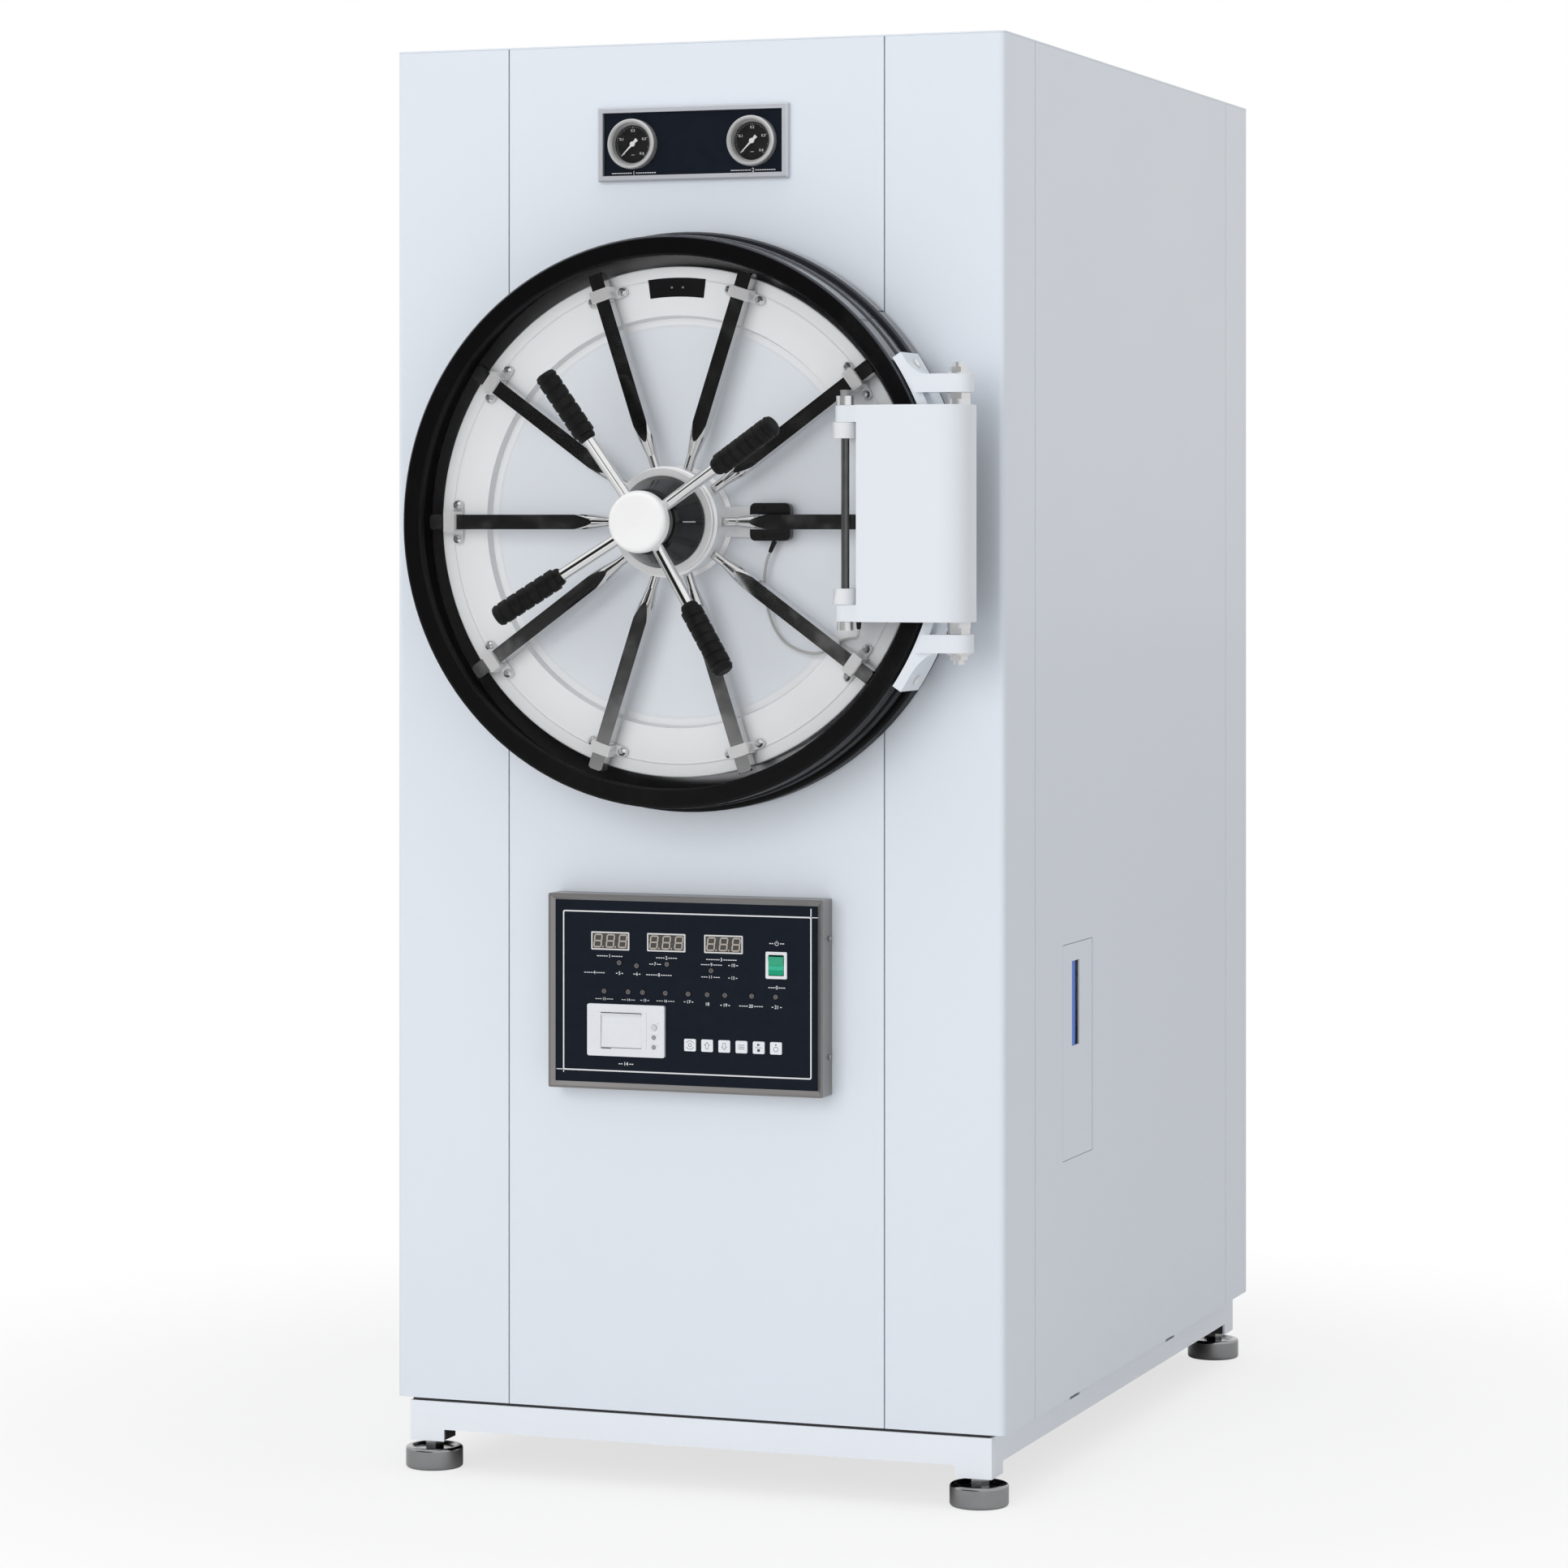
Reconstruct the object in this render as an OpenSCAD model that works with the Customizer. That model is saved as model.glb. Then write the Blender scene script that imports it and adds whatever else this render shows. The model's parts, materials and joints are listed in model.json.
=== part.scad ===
// Horizontal autoclave: a free-standing steam steriliser with a round door on a hinge arm.
// Lengths are in millimetres and angles in degrees.
// X is to the right seen from the front, Y goes into the machine and Z is up.
// The origin is on the floor, in the middle of the whole machine's width and depth.

/* [Cabinet] */
// Gap from the ring's front band to the cabinet's sides
side_margin = 52; // [50:1:70]
// Depth from the front panels to the rear panel
cabinet_d = 1175; // [1150:5:1300]
// Height of the panelled body above its base
cabinet_h = 1693; // [1650:1:1800]
// Thickness of the sheet metal panels
sheet_t = 2; // [1:0.5:3]
// Width of the middle front panels
front_panel_w = 493; // [470:1:520]
// How far the front corner columns run back along the sides
front_return_d = 126; // [110:1:150]
// How far the rear corner columns run forward along the sides
rear_return_d = 122; // [100:1:150]
// Width of the rear corner columns across the back
rear_column_w = 90; // [70:5:140]
// Outer radius of the upright cabinet edges
edge_r = 8; // [4:1:12]
// Gap that shows between neighbouring panels
seam = 1.6; // [0.8:0.2:3]
// Width of the folded inner edges of the panels
fold_w = 28; // [24:1:34]

/* [Base and feet] */
// Height of the cabinet panels above the floor
base_h = 90; // [85:1:110]
// Height of the skirt round the base
skirt_h = 35; // [25:1:40]
// Shadow gap between the skirt and the panels
skirt_gap = 4; // [3:1:10]
// Set-back of the skirt from the cabinet sides and back
skirt_inset = 17; // [12:1:24]
// Width of the square legs
leg_w = 40; // [36:1:44]
// Height of the underside of the legs above the floor
leg_clear = 36; // [32:1:42]
// Diameter of the cupped foot pads
foot_d = 72; // [60:1:80]
// Height of the cupped foot pads
foot_h = 27; // [18:1:29]
// Diameter of the levelling studs
stud_d = 16; // [12:1:20]

/* [Chamber] */
// Height of the chamber's axis above the floor
axis_h = 1191; // [1170:1:1250]
// Step in from the ring's front band to the chamber's bore
chamber_margin = 48; // [46:1:60]
// Length of the chamber's straight shell behind its mouth
chamber_l = 930; // [850:5:960]
// Thickness of the pressure shell
shell_t = 6; // [4:0.5:8]
// Depth of the dished rear head inside
head_d = 150; // [120:5:160]
// Thickness of the insulation round the shell
wool_t = 30; // [22:1:32]
// Thickness of the chamber's front flange
flange_t = 30; // [20:1:34]

/* [Locking ring] */
// Outer diameter of the ring's front band
ring_d = 696; // [680:1:712]
// How far the ring stands out from the cabinet
ring_proud = 100; // [96:1:110]
// Thickness of the lip that the bars lock behind
lip_t = 12; // [8:1:14]
// Width of the front face of the ring, from its outer edge to the lip's edge
lip_w = 24; // [22:1:28]
// Depth of the pocket behind the lip, beyond the lip's edge
pocket_d = 14; // [12:1:15]

/* [Door] */
// Gap all round between the ring's lip and the door plate
door_gap = 12; // [10:1:14]
// Distance of the raised line from the door's rim
rim_line_in = 17; // [13:1:22]
// Distance of the step down to the dished middle from the door's rim
dish_in = 60; // [52:1:72]
// Thickness of the door plate
door_t = 24; // [18:1:26]
// Gap between the chamber flange and the door's gasket before it is clamped
seal_gap = 0.8; // [0.6:0.1:0.9]
// Thickness of the door gasket that stands out of its groove
seal_proud = 3; // [2:0.5:4]

/* [Locking bars] */
// Number of radial locking bars
bar_count = 10;
// Width of the square locking bars
bar_w = 18; // [16:1:19]
// Diameter of the round inner ends of the bars
spigot_d = 12; // [10:0.5:12.5]
// Gap between the bar tips and the ring's lip when drawn in
tip_gap = 6; // [5:0.5:8]
// Travel of the bars from drawn in to locked
bar_travel = 15; // [12:0.5:16]
// Turn of the handwheel that moves the bars through their travel
lock_turn = 45; // [40:1:50]
// Radius of the bar pins in the scroll plate when drawn in
pin_r = 30; // [29:0.5:31]
// Diameter of the pins that run in the scroll slots
pin_d = 6; // [5:0.5:7]
// Distance of the guides that hold the bars from the door's rim
guide_in = 23; // [18:1:28]

/* [Handwheel] */
// Diameter of the polished end cap
cap_d = 75; // [70:1:80]
// Reach of the handles in front of the locking ring
hub_reach = 115; // [110:1:125]
// Rear diameter of the black cone behind the cap
cone_d = 112; // [106:1:116]
// Diameter of the lock housing behind the cone
housing_d = 131; // [128:1:136]
// Lean of the handles towards the user
handle_lean = 9; // [6:0.5:10]
// Number of handles
handle_count = 4; // [3:1:5]
// Diameter of the polished handle rods
rod_d = 15; // [12:0.5:16]
// Radius from the axis to the ends of the grips
grip_end_r = 215; // [190:1:220]
// Length of the ribbed grips
grip_l = 96; // [80:1:110]
// Diameter of the ribbed grips
grip_d = 27; // [24:0.5:30]

/* [Hinge] */
// Distance of the main hinge pins outside the ring's front band
hinge_out = 23; // [21:0.5:26]
// Distance of the main hinge pins in front of the cabinet
hinge_f = 90; // [88:0.5:94]
// Distance between the main hinge pins and the door's pivot rod
arm_w = 138; // [134:1:142]
// Distance of the door's pivot rod in front of the cabinet
pivot_f = 104; // [102:0.5:106]
// Height of the hinge arm
arm_h = 258; // [250:1:262]
// Height of the hinge arm's middle above the door's axis
arm_lift = 10; // [0:1:14]
// Front face of the hinge arm in front of the cabinet
arm_f = 135; // [132:0.5:140]
// Thickness of the hinge arm's top and bottom plates
arm_plate_t = 20; // [16:1:22]
// Thickness of the hinge arm's curved front sheet
arm_sheet_t = 4; // [3:0.5:5]
// Diameter of the main hinge pins
hinge_pin_d = 16; // [12:0.5:18]
// Diameter of the door's pivot rod
pivot_d = 10; // [8:0.5:12]
// Height of the fixed hinge lugs
lug_h = 22; // [16:1:24]
// Gap between the arm and the fixed lugs, filled by thrust washers
lug_gap = 15; // [12:1:18]

/* [Gauge panel] */
// Width of the gauge panel
gauge_panel_w = 250; // [230:1:280]
// Height of the gauge panel
gauge_panel_h = 92; // [86:1:110]
// Height of the gauge panel's middle above the cabinet's base
gauge_panel_z = 1568; // [1530:1:1590]
// Distance between the two gauges
gauge_pitch = 157; // [140:1:165]
// Diameter of the gauge bezels
gauge_d = 62; // [56:1:68]
// Sweep of the gauge needles
needle_sweep = 270; // [240:5:300]

/* [Control panel] */
// Width of the control box
control_w = 360; // [356:1:380]
// Height of the control box
control_h = 240; // [236:1:260]
// How far the control box stands out from the cabinet
control_proud = 34; // [30:1:40]
// Height of the control box's middle above the cabinet's base
control_z = 522; // [500:1:540]
// Width of the control box's bevelled front border
control_border = 9; // [7:0.5:11]
// Size of the square keys
key_w = 15; // [12:0.5:16]
// Distance between neighbouring keys
key_pitch = 22.4; // [20:0.2:24]
// Travel of the keys
key_travel = 1; // [0.5:0.1:1.4]
// Width of the power rocker
rocker_w = 19; // [16:0.5:21]
// Height of the power rocker
rocker_h = 24.5; // [22:0.5:26]
// Tilt of the power rocker from off to on
rocker_tilt = 12; // [8:1:14]
// Width of the printer's front
printer_w = 102; // [96:1:106]
// Height of the printer's front
printer_h = 64; // [60:1:68]

/* [Service flap] */
// Width of the flap in the right side panel
flap_w = 133; // [120:1:150]
// Height of the flap
flap_h = 270; // [250:1:300]
// Distance of the flap's front edge behind the cabinet's front
flap_y = 247; // [220:1:280]
// Height of the flap's lower edge above the cabinet's base
flap_z = 300; // [280:1:330]
// Width of the finger slot in the flap
slot_w = 33; // [28:1:38]
// Height of the finger slot in the flap
slot_h = 107; // [90:1:120]

/* [Hidden] */
// Overrun of every cut past the face it opens
over = 1;
// Gap between flat pieces that seat on each other
seat = 0.2;
// Gap between pieces that move past each other
slide = 0.3;
// Radial clearance of a pin or shaft in its bore
fit = 0.05;
// Smoothness of the round pieces
fine = 96;
// Steps of a rounded corner in a revolved outline
steps = 5;
// How far the pipe stubs stand out behind the rear panel
rear_reach = 25;
// Offset of the skirt's front from the cabinet's front
skirt_front = 2;
cabinet_w = ring_d + 2 * side_margin;
chamber_d = ring_d - 2 * chamber_margin;
hub_f = ring_proud + hub_reach;
front_y = hub_f - (cabinet_d + hub_f + rear_reach) / 2;
top_z = base_h + cabinet_h;
panel_h = cabinet_h - sheet_t - seat;
shell_r = chamber_d / 2 + shell_t;
wool_r = shell_r + seat + wool_t;
ring_r = ring_d / 2;
lip_r = ring_r - lip_w;
pocket_r = lip_r + pocket_d;
hole_r = pocket_r + 6;
door_d = 2 * (lip_r - door_gap);
rim_line_d = door_d - 2 * rim_line_in;
dish_d = door_d - 2 * dish_in;
tip_r = lip_r - tip_gap;
guide_r = door_d / 2 - guide_in;
hinge_x = ring_r + hinge_out;
pivot_x = hinge_x - arm_w;
lip_f = ring_proud - lip_t;
flange_f = flange_t + 2;
door_back_f = flange_f + seal_gap + seal_proud;
door_front_f = door_back_f + door_t;
bar_clear = 4;
bar_f = lip_f - bar_clear - bar_w / 2;
hinge_h = arm_h / 2;

// Rounds a revolved or extruded outline: points of an arc from angle a to angle b.
function arc(centre, r, a, b, n = steps) =
    [for (i = [0 : n]) centre + r * [cos(a + (b - a) * i / n), sin(a + (b - a) * i / n)]];

// Puts a piece drawn as width, height and distance forward onto the cabinet's front.
module front(height = 0) translate([0, front_y, height]) rotate([90, 0, 0]) children();

// Puts a piece drawn round the door's axis onto the cabinet's front.
module on_axis() front(axis_h) children();

// Puts a piece drawn as X, depth behind the front, and height into the cabinet.
module inside() translate([0, front_y, 0]) children();

// A box between two values on each axis.
module span(x, y, z)
    translate([x[0], y[0], z[0]]) cube([x[1] - x[0], y[1] - y[0], z[1] - z[0]]);

// A flat rectangle with round corners about the middle.
module round_rect(w, h, r) {
    square([w - 2 * r, h], center = true);
    square([w, h - 2 * r], center = true);
    for (x = [-1, 1], y = [-1, 1]) translate([x * (w / 2 - r), y * (h / 2 - r)]) circle(r, $fn = 48);
}

// A plate with round corners, from its back face to its front face.
module plate(w, h, back, face, r)
    translate([0, 0, back]) linear_extrude(face - back) round_rect(w, h, r);

// A disc or tube about the axis between two distances forward.
module disc(r, back, face) translate([0, 0, back]) cylinder(r = r, h = face - back, $fn = fine);
module tube(r_out, r_in, back, face) difference() {
    disc(r_out, back, face);
    disc(r_in, back - over, face + over);
}

// A revolved outline given as radius and distance forward.
module revolve(points) rotate_extrude($fn = fine) polygon(points);

// Copies a piece round the axis, starting from an angle.
module around(count, start = 0)
    for (i = [0 : count - 1]) rotate(start + i * 360 / count) children();

// A round-headed screw that stands on a face.
module screw_head(r, h) {
    cylinder(r = r, h = h / 2, $fn = 32);
    translate([0, 0, h / 2]) cylinder(r1 = r, r2 = r / 2, h = h / 2, $fn = 32);
}

// A hexagon nut or bolt head across its corners.
module hexagon(r, h) cylinder(r = r, h = h, $fn = 6);

// Cabinet

// An L-shaped corner in plan, with its outer corner at the origin and a round edge.
module corner_plan(w, d, r) {
    translate([r, 0]) square([w - r, d]);
    translate([0, r]) square([w, d - r]);
    translate([r, r]) circle(r, $fn = 48);
}

// A folded corner column: two walls, folded free edges and end plates.
module column(w, d) {
    difference() {
        linear_extrude(panel_h) corner_plan(w, d, edge_r);
        translate([sheet_t, sheet_t, sheet_t])
            linear_extrude(panel_h - 2 * sheet_t)
                corner_plan(w - 2 * sheet_t, d - 2 * sheet_t, edge_r - sheet_t);
        translate([fold_w, fold_w, -over]) cube([w, d, panel_h + 2 * over]);
    }
}

// The round hole that the ring covers in the front panels and columns.
module ring_hole() translate([0, 0, axis_h - base_h]) rotate([90, 0, 0])
    translate([0, 0, -fold_w - over]) cylinder(r = hole_r, h = fold_w + 2 * over, $fn = fine);

module corner_columns() color("whitesmoke") inside() translate([0, 0, base_h]) {
    front_w = (cabinet_w - front_panel_w) / 2 - seam;
    difference() {
        for (side = [0, 1]) mirror([side, 0, 0])
            translate([-cabinet_w / 2, 0, 0]) column(front_w, front_return_d);
        ring_hole();
    }
    for (side = [0, 1]) mirror([side, 0, 0]) translate([-cabinet_w / 2, cabinet_d, 0])
        mirror([0, 1, 0]) column(rear_column_w, rear_return_d);
}

// A folded sheet panel that is open at the back: width, height and fold depth.
module tray(w, h) difference() {
    translate([-w / 2, 0, 0]) cube([w, fold_w, h]);
    translate([-w / 2 + sheet_t, sheet_t, sheet_t]) cube([w - 2 * sheet_t, fold_w, h - 2 * sheet_t]);
}

// One tray cut by the ring's hole into an upper and a lower panel.
module front_panels() color("whitesmoke") inside() translate([0, 0, base_h]) difference() {
    gauge_window = [gauge_panel_w - 4 * gauge_border, gauge_panel_h - 4 * gauge_border];
    control_window = [control_w - 6 * control_border, control_h - 6 * control_border];
    tray(front_panel_w, panel_h);
    ring_hole();
    translate([-gauge_window[0] / 2, -over, gauge_panel_z - gauge_window[1] / 2])
        cube([gauge_window[0], sheet_t + 2 * over, gauge_window[1]]);
    translate([-control_window[0] / 2, -over, control_z - control_window[1] / 2])
        cube([control_window[0], sheet_t + 2 * over, control_window[1]]);
}

side_panel_l = cabinet_d - front_return_d - rear_return_d - 2 * seam;
side_panel_mid = front_return_d + seam + side_panel_l / 2;
flap_mid = flap_y + flap_w / 2;
flap_reveal = 0.8;

module side_panels() color("whitesmoke") inside() translate([0, side_panel_mid, base_h]) {
    translate([-cabinet_w / 2, 0, 0]) rotate(-90) tray(side_panel_l, panel_h);
    difference() {
        translate([cabinet_w / 2, 0, 0]) rotate(90) tray(side_panel_l, panel_h);
        translate([0, flap_mid - side_panel_mid - flap_w / 2 - flap_reveal, flap_z - flap_reveal])
            cube([cabinet_w, flap_w + 2 * flap_reveal, flap_h + 2 * flap_reveal]);
    }
    // Pocket behind the flap, welded to the inside of the right panel
    flap_pocket();
}

pocket_deep = 60;
module flap_pocket() {
    wall = sheet_t;
    y0 = flap_mid - side_panel_mid - flap_w / 2 - flap_reveal;
    z0 = flap_z - flap_reveal;
    w = flap_w + 2 * flap_reveal;
    h = flap_h + 2 * flap_reveal;
    x1 = cabinet_w / 2 - sheet_t;
    difference() {
        translate([x1 - pocket_deep, y0 - wall, z0 - wall])
            cube([pocket_deep, w + 2 * wall, h + 2 * wall]);
        translate([x1 - pocket_deep + wall, y0, z0]) cube([pocket_deep, w, h]);
    }
}

louvre_w = 260;
louvre_h = 8;
louvre_pitch = 22;
louvre_rows = 8;
port_pitch = 70;
port_z = 210;

module rear_panel() color("whitesmoke") inside() translate([0, cabinet_d, base_h]) {
    w = cabinet_w - 2 * rear_column_w - 2 * seam;
    difference() {
        mirror([0, 1, 0]) tray(w, panel_h);
        for (row = [0 : louvre_rows - 1], height = [panel_h * 0.3, panel_h * 0.78])
            translate([-louvre_w / 2, -sheet_t - over, height + row * louvre_pitch])
                cube([louvre_w, sheet_t + 2 * over, louvre_h]);
        for (i = [-1 : 1]) translate([i * port_pitch, over, port_z]) rotate([90, 0, 0])
            cylinder(d = pipe_d + 2 * seat, h = sheet_t + 2 * over, $fn = 48);
    }
    // Cable gland for the mains
    translate([3 * port_pitch, -sheet_t, port_z]) rotate([-90, 0, 0]) {
        hexagon(gland_d * 0.6, sheet_t + 6);
        translate([0, 0, sheet_t + 6]) cylinder(d1 = gland_d, d2 = gland_d * 0.7, h = 12, $fn = 32);
    }
    // Louvre hoods, each open downwards
    for (row = [0 : louvre_rows - 1], height = [panel_h * 0.3, panel_h * 0.78])
        translate([-louvre_w / 2, 0, height + row * louvre_pitch]) rotate([90, 0, 90])
            linear_extrude(louvre_w) polygon([
                [-sheet_t, louvre_h], [-sheet_t, louvre_h + sheet_t], [0, louvre_h + sheet_t],
                [louvre_h, 0], [louvre_h - sheet_t, 0], [0, louvre_h]
            ]);
}

module top_cover() color("whitesmoke") inside() {
    lip_h = 18;
    lip_inset = fold_w + over;
    translate([0, cabinet_d / 2, top_z - sheet_t]) linear_extrude(sheet_t)
        round_rect(cabinet_w, cabinet_d, edge_r);
    // Turned-down lip that locates the cover inside the panels' folds
    translate([0, cabinet_d / 2, top_z - sheet_t - lip_h]) difference() {
        linear_extrude(lip_h) round_rect(cabinet_w - 2 * lip_inset, cabinet_d - 2 * lip_inset, edge_r);
        translate([0, 0, -over]) linear_extrude(lip_h + 2 * over) round_rect(
            cabinet_w - 2 * lip_inset - 2 * sheet_t, cabinet_d - 2 * lip_inset - 2 * sheet_t,
            sheet_t / 2);
    }
}

// Base, frame and feet

skirt_t = 3;
skirt_z = base_h - skirt_gap - skirt_h;
skirt_w = cabinet_w - 2 * skirt_inset;
skirt_y = [skirt_front, cabinet_d - skirt_inset];
vent_w = 44;
vent_h = 5;
vent_pitch = 230;
cover_w = leg_w + 2 * skirt_t;

// The skirt reaches down over the legs at its corners.
module base_skirt() color("gainsboro") inside() difference() {
    span([-skirt_w / 2, skirt_w / 2], skirt_y, [leg_clear, skirt_z + skirt_h]);
    span([-skirt_w / 2 + skirt_t, skirt_w / 2 - skirt_t],
        [skirt_y[0] + skirt_t, skirt_y[1] - skirt_t], [leg_clear - over, skirt_z + skirt_h + over]);
    span([-skirt_w / 2 + cover_w, skirt_w / 2 - cover_w], skirt_y + over * [-1, 1],
        [leg_clear - over, skirt_z]);
    span([-skirt_w / 2 - over, skirt_w / 2 + over], skirt_y + cover_w * [1, -1],
        [leg_clear - over, skirt_z]);
    // Vent slots along both sides
    for (i = [-1, 1])
        translate([-skirt_w / 2 - over, cabinet_d / 2 + i * vent_pitch - vent_w / 2,
            skirt_z + skirt_h - 2 * vent_h]) cube([skirt_w + 2 * over, vent_w, vent_h]);
}

rail_x = skirt_w / 2 - skirt_t;
rail_y = [skirt_y[0] + skirt_t, skirt_y[1] - skirt_t];
leg_mid = [rail_x - leg_w / 2, rail_y[0] + leg_w / 2, rail_y[1] - leg_w / 2];
post_w = 28;
post_x = cabinet_w / 2 - fold_w - 4 - post_w / 2;
post_y = [fold_w + 4 + post_w / 2, cabinet_d - fold_w - 4 - post_w / 2];
tube_t = 4;
saddle_t = 8;
saddle_w = 500;
saddle_rib = 30;
saddle_y = [240, 760];
saddle_top = axis_h - wool_r * 0.6;
rail_top = base_h - seat;
rail_h = skirt_h + skirt_gap - seat - skirt_t;

// A ring of square tube in plan: outer reach in X, both ends in Y, tube width and height.
module tube_ring(x, y, w, z) difference() {
    span([-x, x], y, z);
    span([-x + w, x - w], [y[0] + w, y[1] - w], [z[0] - over, z[1] + over]);
}

// A channel that is open downwards.
module channel(x, y) difference() {
    span(x, y, [rail_top - rail_h, rail_top]);
    span([x[0] + tube_t, x[1] - tube_t], [y[0] + tube_t, y[1] - tube_t],
        [rail_top - rail_h - over, rail_top - tube_t]);
}

module base_frame() color("dimgray") inside() {
    difference() {
        tube_ring(rail_x, rail_y, leg_w, [rail_top - rail_h, rail_top]);
        tube_ring(rail_x - tube_t, rail_y + tube_t * [1, -1], leg_w - 2 * tube_t,
            [rail_top - rail_h - over, rail_top - tube_t]);
    }
    // Cross members under the saddles, and two rails under the steam generator
    for (y = saddle_y) channel([-rail_x + leg_w - tube_t, rail_x - leg_w + tube_t],
        [y - leg_w / 2, y + leg_w / 2]);
    for (x = [-1, 1]) channel([boiler_at[0] + x * boiler_r * 0.6 - leg_w / 2,
        boiler_at[0] + x * boiler_r * 0.6 + leg_w / 2],
        [saddle_y[0] + leg_w / 2 - tube_t, saddle_y[1] - leg_w / 2 + tube_t]);
    // Legs with the threads of the levelling feet
    for (x = [-1, 1], i = [1, 2]) difference() {
        translate([x * leg_mid[0] - leg_w / 2, leg_mid[i] - leg_w / 2, leg_clear])
            cube([leg_w, leg_w, rail_top - leg_clear]);
        translate([x * leg_mid[0], leg_mid[i], leg_clear - over])
            cylinder(d = stud_d + 2 * fit, h = stud_bite + over, $fn = 48);
    }
    // Saddle plates that carry the chamber
    for (y = saddle_y) difference() {
        span([-saddle_w / 2, saddle_w / 2], [y - saddle_t / 2, y + saddle_t / 2],
            [rail_top - tube_t / 2, saddle_top]);
        translate([0, y + saddle_t, axis_h]) rotate([90, 0, 0])
            cylinder(r = wool_r + seat, h = 2 * saddle_t, $fn = fine);
        for (x = [-1, 1]) span(
            [x > 0 ? saddle_rib : -saddle_w / 2 + saddle_rib,
            x > 0 ? saddle_w / 2 - saddle_rib : -saddle_rib],
            [y - saddle_t, y + saddle_t], [rail_top + saddle_rib, axis_h - wool_r - 2 * saddle_rib]);
    }
}

// Four posts, open at both ends, and the ring that joins them under the top cover.
module upper_frame() color("dimgray") inside() {
    post_top = top_z - sheet_t - seat;
    tube_ring(post_x + post_w / 2, [post_y[0] - post_w / 2, post_y[1] + post_w / 2], post_w,
        [post_top - post_w, post_top]);
    for (x = [-1, 1], y = post_y) difference() {
        translate([x * post_x - post_w / 2, y - post_w / 2, rail_top + seat])
            cube([post_w, post_w, post_top - rail_top - post_w]);
        translate([x * post_x - post_w / 2 + tube_t, y - post_w / 2 + tube_t, rail_top])
            cube([post_w - 2 * tube_t, post_w - 2 * tube_t, post_top - rail_top - 2 * post_w]);
    }
}

stud_bite = 20;
neck_h = 6;

module feet() color("silver") inside()
    for (x = [-1, 1], i = [1, 2]) translate([x * leg_mid[0], leg_mid[i], 0]) {
        // Cupped pad with a turned rim, hexagon nut and levelling stud
        rotate_extrude($fn = fine) polygon(concat(
            [[0, 0]], arc([foot_d / 2 - foot_lip, foot_lip], foot_lip, -90, 0),
            arc([foot_d / 2 - foot_lip, foot_h - foot_lip], foot_lip, 0, 90),
            [[foot_d / 2 - 2 * foot_lip, foot_h], [foot_d / 2 - 3 * foot_lip, foot_h - foot_lip],
            [0, foot_h - foot_lip]]));
        translate([0, 0, foot_h - foot_lip - over])
            hexagon(stud_d * 0.8, leg_clear - foot_h + foot_lip - seat + over);
        cylinder(d = stud_d, h = leg_clear + stud_bite - seat, $fn = 48);
    }
foot_lip = 3.5;

// Pressure chamber

shelf_x = 150;
shelf_w = 30;
shelf_t = 4;
shelf_l = 860;
nozzle_d = 27;
nozzle_l = wool_t + 25;
nozzle_at = [-180, -700];

module chamber() color("lightsteelblue") on_axis() {
    r = chamber_d / 2;
    back = flange_f - chamber_l;
    difference() {
        union() {
            // Front flange, straight shell and dished rear head
            revolve(concat(
                [[r, flange_f], [pocket_r - seat, flange_f], [pocket_r - seat, flange_f - flange_t],
                [shell_r, flange_f - flange_t], [shell_r, back]],
                [for (a = [9 : 9 : 90]) [shell_r * cos(a), back - (head_d + shell_t) * sin(a)]],
                [for (a = [90 : -6 : 0]) [r * cos(a), back - head_d * sin(a)]]));
            // Nozzles on the top and the bottom
            for (f = nozzle_at, up = [-1, 1]) translate([0, up * (r + shell_t / 2), f])
                rotate([up * -90, 0, 0]) cylinder(d = nozzle_d, h = nozzle_l, $fn = 48);
        }
        for (f = nozzle_at, up = [-1, 1]) translate([0, up * (r - shell_t), f])
            rotate([up * -90, 0, 0])
                cylinder(d = nozzle_d - 2 * shelf_t, h = nozzle_l + 2 * shell_t, $fn = 48);
    }
    // Two angle rails for the loading shelf, welded to the shell
    drop = sqrt(r * r - shelf_x * shelf_x);
    for (x = [-1, 1]) translate([x * shelf_x, -drop, flange_f - shelf_l - over * 20]) {
        translate([-shelf_t / 2, -shell_t / 2, 0]) cube([shelf_t, shelf_w, shelf_l]);
        translate([x > 0 ? -shelf_w : 0, shelf_w - shelf_t - shell_t / 2, 0])
            cube([shelf_w, shelf_t, shelf_l]);
    }
}

// The clad insulation: a jacket over the shell and the dished head.
module insulation() color("silver") on_axis() difference() {
    length = chamber_l - flange_f;
    in_r = shell_r + seat;
    in_d = head_d + shell_t + seat;
    revolve(concat([[in_r, -fold_w / 2], [wool_r, -fold_w / 2]],
        [for (a = [0 : 9 : 90]) [wool_r * cos(a), -length - (in_d + wool_t) * sin(a)]],
        [for (a = [90 : -9 : 0]) [in_r * cos(a), -length - in_d * sin(a)]]));
    for (f = nozzle_at, up = [-1, 1]) translate([0, 0, f]) rotate([up * -90, 0, 0])
        cylinder(d = nozzle_d + 2 * slide, h = wool_r + over, $fn = 48);
}

// Locking ring, with two bands and grooves outside and a pocket behind the front lip

ring_seat = 0.4;
band_step = 8;
groove_d = 6;
ring_edge = 4;

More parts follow.
